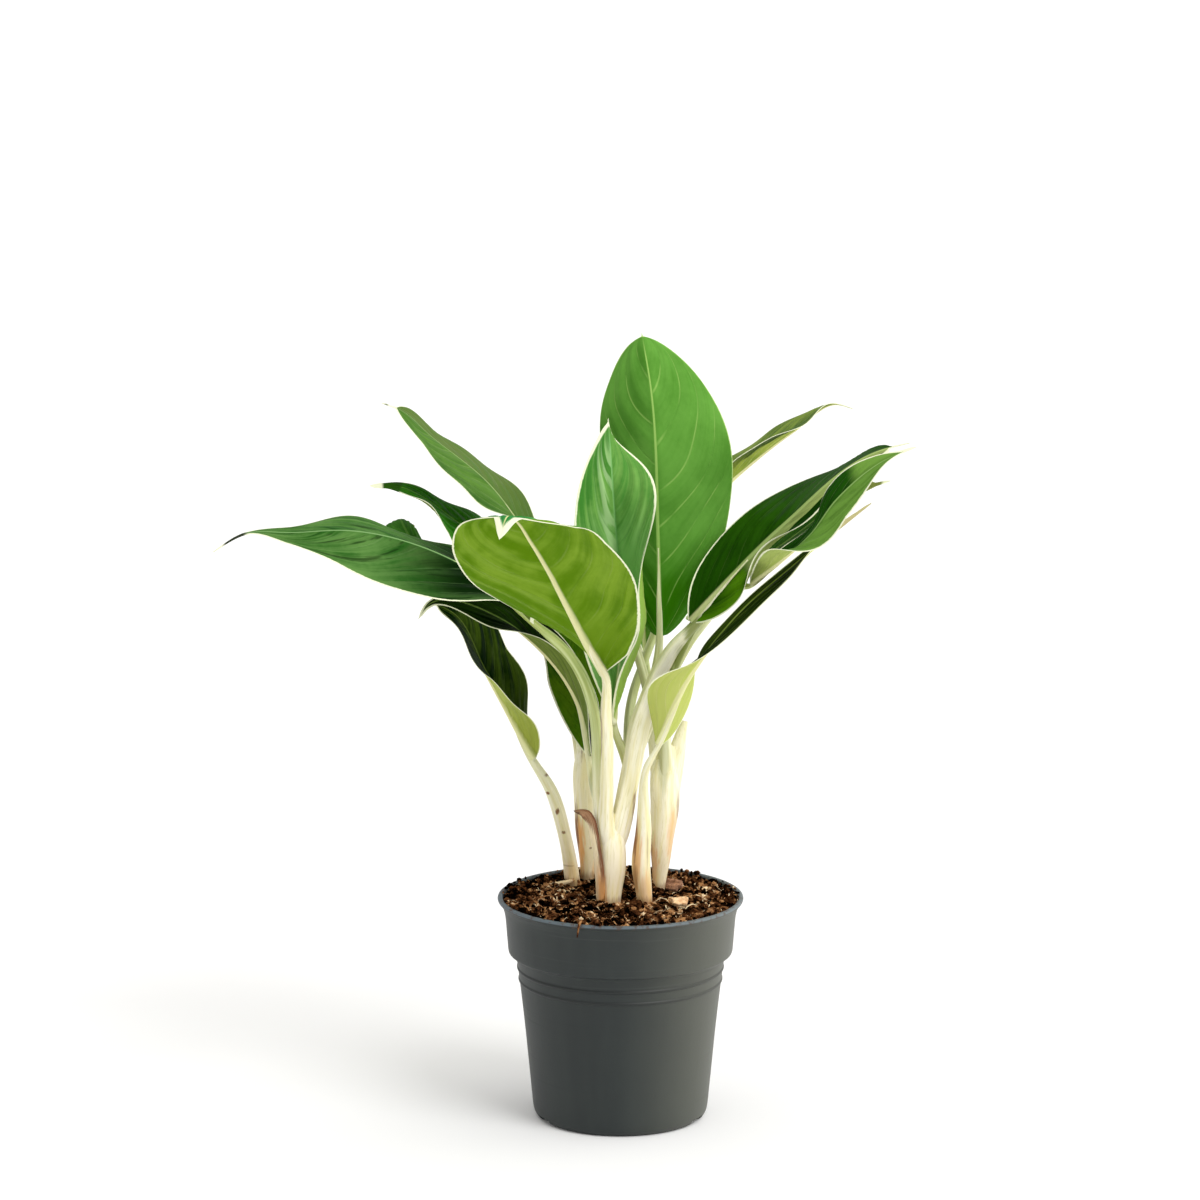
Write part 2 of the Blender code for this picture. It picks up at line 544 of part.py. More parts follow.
inside = [
    (40.0, FLOOR_TOP), (41.3, FLOOR_TOP + 1.2), (45.3, 46), (BODY_TOP_RADIUS - WALL, COLLAR_BOTTOM - 5.5),
    (COLLAR_RADIUS - 3.2, COLLAR_BOTTOM), (COLLAR_RADIUS - 1.4, POT_TOP - 9),
    (RIM_RADIUS - 2.8, POT_TOP - 2), (RIM_RADIUS - 2.4, POT_TOP - 0.4), (RIM_RADIUS - 1.8, POT_TOP)]
pot_profile = [(0, FLOOR_TOP), *inside, *outside, *underside]
pot = turned("pot", pot_profile, POT_STEPS, plant, new_material("pot plastic", POT_GREY))
notches = []
for i, direction in enumerate(NOTCH_DIRECTIONS):
    distance = (FOOT_RING[0] + BODY_BOTTOM_RADIUS) / 2
    place = (distance * math.cos(math.radians(direction)), distance * math.sin(math.radians(direction)),
             NOTCH_HEIGHT / 2 - 1)
    size = (9, NOTCH_WIDTH, NOTCH_HEIGHT + 2)
    notches.append(cutter_box("foot_notch_" + str(i + 1), place, size, direction))
drains = []
for i in range(DRAIN_COUNT):
    turn = 2 * math.pi * i / DRAIN_COUNT
    place = (DRAIN_CIRCLE * math.cos(turn), DRAIN_CIRCLE * math.sin(turn))
    drains.append(cutter_cylinder("drain_" + str(i + 1), place, DRAIN_RADIUS, 0, FLOOR_TOP + 2))
cut(pot, notches + drains)

# Soil: the pot's inside drawn in by the gap, up to a lumpy top with a hole for each cane
soil_profile = [(0, SOIL_MIDDLE)]
soil_profile += [(radius, SOIL_MIDDLE) for radius in (9, 18, 27, 36, 45)]
soil_profile += [(56.6, SOIL_EDGE)]
soil_profile += [(radius - GAP - 0.1, height + GAP * (radius < 42))
                 for radius, height in reversed(inside[:7])]
soil_profile += [(0, FLOOR_TOP + GAP)]
soil = turned("soil", soil_profile, POT_STEPS, plant, new_material("potting soil", SOIL_BROWN))
for vert in soil.data.vertices:
    if vert.co.z > (SOIL_EDGE - 0.1) * MM:
        vert.co.z = soil_height(vert.co.x / MM, vert.co.y / MM) * MM
holes = []
for name, tubes in SHOOTS.items():
    foot, radius = tubes[0][0][0], tubes[0][1][0]
    holes.append(cutter_cylinder(name + "_hole", foot, radius + GAP + 0.05, CANE_FOOT - GAP, POT_TOP + 2, 16))
cut(soil, holes)

# Shoots, leaves and the dried sheath
stalk_material = new_material("pale stalk", STALK_CREAM)
leaf_material = new_material("leaf", LEAF_GREEN)
for name, tubes in SHOOTS.items():
    join_tubes(name, tubes, stalk_material)
for name, leaf in LEAVES.items():
    blade(name, leaf, BLADE_COLUMNS, BLADE_THICKNESS, leaf_material)
blade("dried_sheath", SHEATH, 4, BLADE_THICKNESS, new_material("dried sheath", SHEATH_BROWN))

# Bits on the soil
for name, (centre, size, turn, look) in CHIPS.items():
    chip(name, centre, size, turn, new_material(name.replace("_", " "), look))

bpy.data.collections.remove(joining)
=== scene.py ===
# %% [markdown]
# # A potted Chinese evergreen, dressed
# The measured model gives every leaf, shoot, the soil and the pot as plain solids at their real
# size. This script keeps their places and builds the surfaces that the eye reads: blades with a
# midrib, veins and a cream edge, grooved stalks, crumbly soil and a moulded pot. We load the
# measured model first.

# %% Load the measured model
import math

import bpy
import numpy as np
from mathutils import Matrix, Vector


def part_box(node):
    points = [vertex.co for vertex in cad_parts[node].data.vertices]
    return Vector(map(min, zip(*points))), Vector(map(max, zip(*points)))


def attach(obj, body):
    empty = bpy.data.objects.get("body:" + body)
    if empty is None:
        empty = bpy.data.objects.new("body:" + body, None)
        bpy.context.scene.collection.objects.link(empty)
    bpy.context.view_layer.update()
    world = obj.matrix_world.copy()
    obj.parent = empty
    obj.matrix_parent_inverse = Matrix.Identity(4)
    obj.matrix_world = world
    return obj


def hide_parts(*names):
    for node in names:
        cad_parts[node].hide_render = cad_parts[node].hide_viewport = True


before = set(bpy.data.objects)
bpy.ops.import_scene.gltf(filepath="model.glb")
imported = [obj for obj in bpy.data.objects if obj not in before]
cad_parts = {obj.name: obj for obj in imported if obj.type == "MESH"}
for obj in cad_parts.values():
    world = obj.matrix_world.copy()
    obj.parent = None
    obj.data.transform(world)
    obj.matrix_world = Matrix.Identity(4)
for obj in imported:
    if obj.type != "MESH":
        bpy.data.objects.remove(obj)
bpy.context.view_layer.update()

MM = 0.001

# %% [markdown]
# ## Camera
# The rim and the foot of the pot are circles, so the two ellipses that they make in a picture
# fix the view: a long lens, 2.25 m in front of the pot, looking down by eleven degrees.

# %% Camera
CAMERA_PLACE = (-0.010, -2.250, 0.692)
CAMERA_TILT = 10.95
PICTURE = 1200
FOCAL_PIXELS = 4755

camera_data = bpy.data.cameras.new("camera")
camera_data.sensor_width = 36
camera_data.lens = FOCAL_PIXELS / PICTURE * camera_data.sensor_width
camera_data.clip_start, camera_data.clip_end = 0.1, 50
camera = bpy.data.objects.new("camera", camera_data)
camera.location = CAMERA_PLACE
camera.rotation_euler = (math.radians(90 - CAMERA_TILT), 0, 0)
bpy.context.scene.collection.objects.link(camera)
bpy.context.scene.camera = camera
print("lens", round(camera_data.lens, 1), "mm")

# %% [markdown]
# ## Shader sums written as Python
# A finish is easier to read as an expression than as a heap of nodes. `Value` wraps a node's
# output, and adding, multiplying or subtracting two of them adds the Math node that does it.
# Every other node comes from `Sheet.node`, which takes its settings first and then its inputs.

# %% A wrapped socket


class Value:
    """A number that varies over a surface; arithmetic on it adds Math nodes."""

    def __init__(self, sheet, socket):
        self.sheet = sheet
        self.socket = socket

    def math(self, operation, *values):
        """The Math node for one operation on the given values."""
        return self.sheet.node('ShaderNodeMath', {"operation": operation}, dict(enumerate(values)))

    def __add__(self, other):
        return self.math('ADD', self, other)

    __radd__ = __add__

    def __sub__(self, other):
        return self.math('SUBTRACT', self, other)

    def __rsub__(self, other):
        return self.math('SUBTRACT', other, self)

    def __mul__(self, other):
        return self.math('MULTIPLY', self, other)

    __rmul__ = __mul__

    def __truediv__(self, other):
        return self.math('DIVIDE', self, other)

    def absolute(self):
        return self.math('ABSOLUTE', self)

    def at_least(self, other):
        """The larger of two values."""
        return self.math('MAXIMUM', self, other)

    def wave(self):
        """Sine of the value in radians."""
        return self.math('SINE', self)

    def ramp(self, start, end):
        """0 before start and 1 past end, eased between; start may lie above end."""
        low, high = (0.0, 1.0) if start < end else (1.0, 0.0)
        inputs = {"Value": self, "From Min": min(start, end), "From Max": max(start, end),
                  "To Min": low, "To Max": high}
        return self.sheet.node('ShaderNodeMapRange', {"interpolation_type": 'SMOOTHSTEP'}, inputs)

    def between(self, start, end, soft):
        """1 from start to end, eased to 0 over the softness at either."""
        return self.ramp(start - soft, start + soft) * self.ramp(end + soft, end - soft)

    def line(self, width):
        """1 where the value passes a whole number, falling to 0 at width either side."""
        to_whole = self.math('SUBTRACT', self.math('FRACT', self + 0.5), 0.5)
        return to_whole.absolute().ramp(width, width * 0.2)


def srgb(red, green, blue):
    """Colour as seen on screen, 0 to 255, turned into the light values that a shader uses."""
    seen = np.array([red, green, blue]) / 255
    return tuple(float(v) for v in np.where(seen < 0.04045, seen / 12.92, ((seen + 0.055) / 1.055) ** 2.4))


print("mid grey on screen, 128, is", round(srgb(128, 128, 128)[0], 3), "of white's light")

# %% A node sheet, and a material on one


class Sheet:
    """A tree of nodes under construction."""

    def __init__(self, tree):
        self.nodes = tree.nodes
        self.links = tree.links

    def put(self, socket, value):
        """Link a value, or set a number or colour, on a socket."""
        if isinstance(value, Value):
            self.links.new(value.socket, socket)
        elif isinstance(value, tuple) and len(value) == 3 and socket.type == 'RGBA':
            socket.default_value = (*value, 1)
        else:
            socket.default_value = value

    def node(self, kind, settings=None, inputs=None, out=0):
        """Any node: its settings, then the values or links of its sockets, and one of its outputs."""
        node = self.nodes.new(kind)
        for setting, value in (settings or {}).items():
            setattr(node, setting, value)
        for socket, value in (inputs or {}).items():
            self.put(node.inputs[socket], value)
        return Value(self, node.outputs[out])

    def part(self, vector, axis):
        """The X, Y or Z of a vector."""
        return self.node('ShaderNodeSeparateXYZ', None, {0: vector}, axis)

    def place(self, axis=None):
        """Object coordinates, or one of them."""
        coordinates = self.node('ShaderNodeTexCoord', out="Object")
        return coordinates if axis is None else self.part(coordinates, axis)

    def point(self, x, y, z=0.0):
        return self.node('ShaderNodeCombineXYZ', None, {0: x, 1: y, 2: z})

    def stretched(self, vector, scales):
        """A vector with each of its parts multiplied by a number of its own."""
        return self.node('ShaderNodeVectorMath', {"operation": 'MULTIPLY'}, {0: vector, 1: scales})

    def noise(self, where, scale, detail=3.0, rough=0.5):
        inputs = {"Vector": where, "Scale": scale, "Detail": detail, "Roughness": rough}
        return self.node('ShaderNodeTexNoise', None, inputs, out="Fac")

    def mix(self, amount, first, second):
        """First colour where the amount is 0, second where it is 1; a tuple is a screen colour."""
        first, second = (srgb(*colour) if isinstance(colour, tuple) else colour for colour in (first, second))
        return self.node('ShaderNodeMix', {"data_type": 'RGBA'}, {0: amount, 6: first, 7: second}, out=2)


class Finish(Sheet):
    """A material under construction: one Principled shader, and the colour painted so far."""

    def __init__(self, name, **sockets):
        self.material = bpy.data.materials.new(name)
        self.material.use_nodes = True
        super().__init__(self.material.node_tree)
        self.shader = self.nodes["Principled BSDF"]
        self.colour = None
        self.give(**sockets)

    def attribute(self, name, out="Fac"):
        """A number, or with out="Vector" a vector, that the mesh carries at each point."""
        return self.node('ShaderNodeAttribute', {"attribute_name": name}, out=out)

    def paint(self, amount, colour):
        """Lay a colour over what is there: none of it where the amount is 0, all where it is 1."""
        self.colour = self.mix(amount, self.colour, colour)

    def bump(self, height, depth):
        """Normal for a height between 0 and 1 that stands the given number of metres tall."""
        return self.node('ShaderNodeBump', None, {"Height": height, "Distance": depth, "Strength": 1.0})

    def give(self, **sockets):
        """Set or link sockets of the shader, and hand back the material."""
        for socket, value in sockets.items():
            self.put(self.shader.inputs[socket.replace("_", " ")], value)
        return self.material


print("sums and sheets ready:", ", ".join(kind.__name__ for kind in (Value, Sheet, Finish)))

# %% [markdown]
# ## Light and floor
# The plant stands in a white studio. A tall wall of soft light stands on the right and a bright
# ceiling above, while the left and the side behind the camera stay dimmer: that is partly why
# the pot is dark on the left and grows paler to its right edge, and the pot's finish adds the
# rest as painted light. So the surround's strength grows with the height of a direction and with
# the square of its way to either side, and one broad sun from the right front throws the short
# soft shadow. The Standard view keeps white paper white.

# %% Surround and sun
SURROUND = 0.40
SURROUND_COLOUR = (1.0, 0.99, 0.97, 1)
CEILING = 0.60
RIGHT_WALL = 1.2
LEFT_WALL = 0.2
SUN_FROM = (0.60, -0.62, 0.88)
SUN_STRENGTH = 1.3
SUN_WIDTH = 30

world = bpy.data.worlds.new("studio")
bpy.context.scene.world = world
world.use_nodes = True
studio = Sheet(world.node_tree)
direction = studio.node('ShaderNodeTexCoord', out="Generated")
sideways, upward = studio.part(direction, "X"), studio.part(direction, "Z")
right, left = sideways.at_least(0.0), (sideways * -1.0).at_least(0.0)
strength = right * right * RIGHT_WALL + left * left * LEFT_WALL + upward.at_least(0.0) * CEILING + SURROUND
background = world.node_tree.nodes["Background"]
background.inputs["Color"].default_value = SURROUND_COLOUR
studio.put(background.inputs["Strength"], strength)
bpy.context.scene.view_settings.view_transform = 'Standard'

sun_data = bpy.data.lights.new("sun", 'SUN')
sun_data.energy = SUN_STRENGTH
sun_data.angle = math.radians(SUN_WIDTH)
sun = bpy.data.objects.new("sun", sun_data)
across, ahead, up = SUN_FROM
sun.rotation_euler = (math.atan2(math.hypot(across, ahead), up), 0, math.atan2(ahead, across) + math.pi / 2)
bpy.context.scene.collection.objects.link(sun)
print("sun stands", round(math.degrees(math.atan2(up, math.hypot(across, ahead)))), "degrees high")

# %% Floor
FLOOR_REACH = 80.0
PAPER_WHITE = 0.94


def new_piece(name, mesh, slot=None):
    """An object for a mesh, in the scene and, with a slot, riding on the plant's one body."""
    obj = bpy.data.objects.new(name, mesh)
    bpy.context.scene.collection.objects.link(obj)
    if slot:
        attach(obj, "root")
    return obj


corners = [(x * FLOOR_REACH, y * FLOOR_REACH, 0) for x, y in ((-1, -1), (1, -1), (1, 1), (-1, 1))]
floor_mesh = bpy.data.meshes.new("floor")
floor_mesh.from_pydata(corners, [], [(0, 1, 2, 3)])
floor = new_piece("floor", floor_mesh)
paper = Finish("white_paper", Roughness=0.9, Specular_IOR_Level=0.2)
floor_mesh.materials.append(paper.give(Base_Color=PAPER_WHITE - paper.noise(paper.place(), 3, 2) * 0.006))
print("floor", 2 * FLOOR_REACH, "m wide")

# %% [markdown]
# ## Curves through a few points
# A midrib, a stalk and the way a blade folds are each given by a few values. One cubic through
# them, which leaves each value along the slope between its neighbours, makes them smooth.

# %% Smooth curves


def smooth_curve(knots, points, t):
    """Cubic through the points, leaving each along the slope between its neighbours."""
    slope = np.gradient(points, knots, axis=0)
    k = np.clip(np.searchsorted(knots, t, side="right") - 1, 0, len(knots) - 2)
    step = (knots[k + 1] - knots[k])[:, None]
    u = (t - knots[k])[:, None] / step
    from_start = (2 * u**3 - 3 * u**2 + 1) * points[k] + (u**3 - 2 * u**2 + u) * step * slope[k]
    to_end = (3 * u**2 - 2 * u**3) * points[k + 1] + (u**3 - u**2) * step * slope[k + 1]
    return from_start + to_end


def blend(values, t):
    """Numbers or vectors given at even steps from 0 to 1, read smoothly at each t."""
    values = np.asarray(values, float)
    columns = values.reshape(len(values), -1)
    out = smooth_curve(np.linspace(0, 1, len(values)), columns, t)
    return out[:, 0] if values.ndim == 1 else out


def travelled(points):
    """Way gone at each point, summed along the chords."""
    return np.concatenate(([0.0], np.cumsum(np.linalg.norm(np.diff(points, axis=0), axis=1))))


def chord_knots(points):
    """Place of each point along the chords, from 0 to 1."""
    way = travelled(points)
    return way / way[-1]


def path(points, t):
    """Smooth path through space, with t measured along its chords."""
    points = np.asarray(points, float)
    return smooth_curve(chord_knots(points), points, t)


def unit(vectors):
    """Vectors of length 1."""
    return vectors / np.maximum(np.linalg.norm(vectors, axis=-1, keepdims=True), 1e-9)


def square_to(vectors, along):
    """Vectors with their part along a unit direction taken out, at length 1."""
    return unit(vectors - np.sum(vectors * along, 1)[:, None] * along)


def fade(x, start, end):
    """Smooth step: 0 before start, 1 past end, cubic between."""
    u = np.clip((x - start) / (end - start), 0, 1)
    return u * u * (3 - 2 * u)


quarter = float(blend([0, 1, 0], np.array([0.25]))[0])
print("a curve through 0, 1 and 0, a quarter of the way:", round(quarter, 3))

# %% [markdown]
# ## What was measured
# Every leaf is its midrib, the way its upper side faces, its width, and how each half folds and
# curls. Every shoot is a list of stalks, each a line of points with a radius at each. Lengths are
# in millimetres and angles in degrees.

# %% Measured values
EDGE_WIDTH = 0.45
LEAVES = {
    "leaf_tall": dict(
        midrib=[(19, 11, 236), (18, 7, 285), (14, 13, 361), (10, 20, 384)],
        face=[(0, -1, 0.2), (0, -1, 0.2), (0, -1, 0.3)],
        half=38, taper=(0.60, 0.56), tail=0.985,
        fold=([-30, -30, -30, -20], [-25, -15, -10, -30]),
        curl=([-25, -25, -25, -20], [-20, -15, -10, -25])),
    "leaf_young": dict(
        midrib=[(-4, 4, 196), (0, 0, 237), (-4, -12, 315), (-6, -10, 347)],
        face=[(0, -1, 0.1), (0, -1, 0.1), (0, -1, 0.3)],
        half=27, taper=(0.90, 0.83), tail=0.985,
        narrow=([1, 1, 1, 1], [1.1, 1.3, 1.05, 1]),
        fold=([45, 25, 30, 25], [50, 25, 30, -85]),
        curl=([20, 10, 10, 10], [105, 105, 45, -40])),
    "leaf_front": dict(
        midrib=[(-8, -19, 225), (-14, -33, 238), (-42, -87, 301), (-48, -96, 312), (-52, -104, 316),
                (-56, -115, 307)],
        face=[(-0.3, 0.75, 0.55), (-0.36, 0.75, 0.55), (-0.36, 0.7, 0.6), (-0.2, 0.1, 1)],
        half=41, taper=(0.86, 0.41), tail=0.9, tip=(0.86, 10),
        fold=([-10, -20, -30, -20], [70, 40, 25, 10]),
        curl=([-20, -30, -15, -10], [30, 10, 10, -5])),
    "leaf_left_long": dict(
        midrib=[(-41, -6, 248), (-68, -14, 272), (-129, -24, 295), (-156, -24, 294), (-179, -22, 293),
                (-195, -22, 284)],
        face=[(0.2, -0.1, 1), (0, -0.1, 1), (0, -0.1, 1)],
        half=31, taper=(1.20, 1.50), tail=0.9,
        fold=([0, -35, -45, -10], [45, 0, 5, 5]),
        curl=([35, 10, 30, 55], [15, -10, -5, -10])),
    "leaf_left_low": dict(
        midrib=[(-14, 14, 176), (-20, 15, 201), (-46, 13, 236), (-56, 11, 244), (-94, 6, 252),
                (-98, 5, 246)],
        face=[(0.9, -0.1, 0.3), (0.7, -0.1, 0.7), (0.1, -0.1, 1), (0, -0.2, 1)],
        half=18, taper=(0.56, 1.33), tail=0.95,
        fold=([15, 30, 30, -30, -40], [15, 20, 30, 40, 30]),
        curl=([-20, -10, 5, -25, -15], [5, 5, 10, 15, 10])),
    "leaf_cane": dict(
        midrib=[(-42, 30, 172), (-66, 28, 216), (-83, 26, 246), (-92, 26, 250)],
        face=[(0.7, -0.3, 0.5), (0.4, -0.5, 0.8), (0.2, -0.5, 0.9)],
        half=22, taper=(0.73, 0.61), tail=0.97,
        fold=([75, 45, 30, 15], [-15, 10, 0, 25]),
        curl=([15, 10, 10, 5], [-15, 0, -5, 10])),
    "leaf_back_low": dict(
        midrib=[(-14, 38, 170), (-30, 39, 232), (-37, 40, 244)],
        face=[(0.2, -1, 0.2), (0.2, -1, 0.3), (0.2, -1, 0.5)],
        half=15, taper=(0.78, 0.30), tail=0.97,
        fold=([0, 0, 20, 35], [5, 5, 5, 5]),
        curl=([-5, -5, 5, 15], [0, 0, 0, 0])),
    "leaf_left_mid": dict(
        midrib=[(-52, 52, 262), (-79, 57, 284), (-112, 63, 302), (-124, 62, 302)],
        face=[(0.3, -0.3, 0.9), (0.1, -0.3, 1), (0, -0.3, 1)],
        half=25, taper=(0.45, 1.25), tail=0.93,
        fold=([-45, -5, 10, -55], [-20, -5, -10, 20]),
        curl=([0, 20, 30, -5], [-15, -10, -10, 5])),
    "leaf_left_high": dict(
        midrib=[(-37, 52, 266), (-66, 64, 304), (-94, 70, 326), (-108, 72, 338), (-118, 72, 342)],
        face=[(0.5, -0.4, 0.8), (0.4, -0.4, 0.9), (0.2, -0.4, 0.9)],
        half=27, taper=(0.89, 0.61), tail=0.93,
        fold=([65, 10, 15, 20], [5, -10, -20, -15]),
        curl=([35, 5, 5, 10], [0, -5, -10, -10])),
    "leaf_right_high": dict(
        midrib=[(40, 60, 292), (48, 66, 298), (86, 82, 326), (108, 86, 339), (116, 84, 337)],
        face=[(-0.5, -0.1, 0.8), (-0.3, -0.1, 1), (0, -0.1, 1)],
        half=23, taper=(0.58, 0.83), tail=0.93,
        fold=([60, 15, 10, -10], [40, 40, 30, 30]),
        curl=([5, -20, -20, -30], [-10, -10, -20, -15])),
    "leaf_right_big": dict(
        midrib=[(33, -10, 248), (76, -20, 296), (122, -28, 334), (137, -28, 338)],
        face=[(-0.6, -0.2, 0.7), (-0.5, -0.2, 0.8), (-0.3, -0.2, 1)],
        half=30, taper=(0.78, 0.45), tail=0.93,
        narrow=([1, 1], [1, 0.9, 0.45, 0.25, 0.2, 0.2]),
        fold=([90, 40, 20, 0, -10, 0], [-45, -35, -45, -65, -65, -60]),
        curl=([20, 0, -5, -10, -15, -10], [0, 35, 115, 40, 0, 0])),
    "leaf_right_twist": dict(
        midrib=[(62, -25, 269.5), (76, -38, 283), (89, -46, 297), (101, -53, 315), (121, -57, 333),
                (138, -58, 341)],
        face=[(-0.5, -0.3, 0.75), (-0.4, -0.6, 0.6), (-0.35, -0.85, 0.4), (-0.3, -0.7, 0.7)],
        half=13, taper=(0.55, 0.77), tail=0.93,
        narrow=([0.2, 0.7, 1, 1, 1, 1], [0.6, 0.9, 1, 1, 1, 1]),
        fold=([50, 0, -30, -20, -15, -10], [80, 80, 20, 10, 25, 50]),
        curl=([0, 0, -20, -10, -10, -5], [10, 20, 10, 5, 15, 25])),
    "leaf_right_low": dict(
        midrib=[(18, -20, 190), (33, -31, 226), (58, -35, 259), (80, -23, 276), (120, -9, 306)],
        face=[(-0.5, 0.8, 0.4), (-0.7, -0.3, 0.6), (-0.5, -0.5, 0.8)],
        half=16, taper=(0.37, 0.90), tail=0.95,
        narrow=([1, 1, 0.45, 0.4, 0.6, 1], [1, 1, 1, 1]),
        fold=([10, 5, 0, -5], [85, 10, 15, 75]),
        curl=([5, 5, 0, 0], [40, 5, 5, 35])),
    "leaf_left_bent": dict(
        midrib=[(-64, 62, 244), (-103, 68, 273), (-107, 70, 280), (-109, 75, 283), (-110, 84, 278),
                (-112, 88, 270)],
        face=[(-0.2, -1, 0.3), (-0.2, -1, 0.3), (-0.2, -0.8, 0.6), (-0.3, 0.2, 1)],
        half=11, taper=(0.48, 0.61), tail=0.97,
        fold=([5, 5, 10, 5], [-20, -35, -40, -15]),
        curl=([-20, -20, -20, -20], [-35, -45, -45, -30])),
    "leaf_back_centre": dict(
        midrib=[(12, 54, 220), (10, 56, 261), (3, 66, 324), (1, 74, 346)],
        face=[(0, -1, 0.2), (0, -1, 0.3), (0, -1, 0.4)],
        half=15, taper=(0.76, 0.60), tail=0.97,
        fold=([45, 35, 25, 20], [20, 15, 15, 15]),
        curl=([15, 15, 5, 5], [5, 0, 0, 0])),
    "leaf_right_back": dict(
        midrib=[(42, 14, 247), (50, 15, 258), (82, 14, 284), (116, 11, 308), (130, 7, 314)],
        face=[(-0.6, -0.4, 0.7), (-0.5, -0.5, 0.8), (-0.3, -0.4, 1)],
        half=16, taper=(0.64, 0.67), tail=0.93,
        fold=([0, -10, -5, 20], [20, 25, 25, 20]),
        curl=([-5, -10, -5, 5], [5, 10, 5, 5])),
}

SHEATH = dict(
    midrib=[(-11, -12, 110), (-12, -12.5, 127), (-13.5, -12, 141), (-15, -10, 150), (-17, -9.5, 153),
            (-23, -9, 154.5)],
    face=[(-0.8, -0.6, 0), (-0.8, -0.6, 0), (-0.8, -0.6, 0.4), (-0.3, -0.4, 0.9)],
    half=3.6, taper=(0.25, 0.60), tail=0.98,
    fold=([-15, -15, -10, 0], [-15, -15, -10, 0]),
    curl=([-30, -30, -20, 0], [-30, -30, -20, 0]))

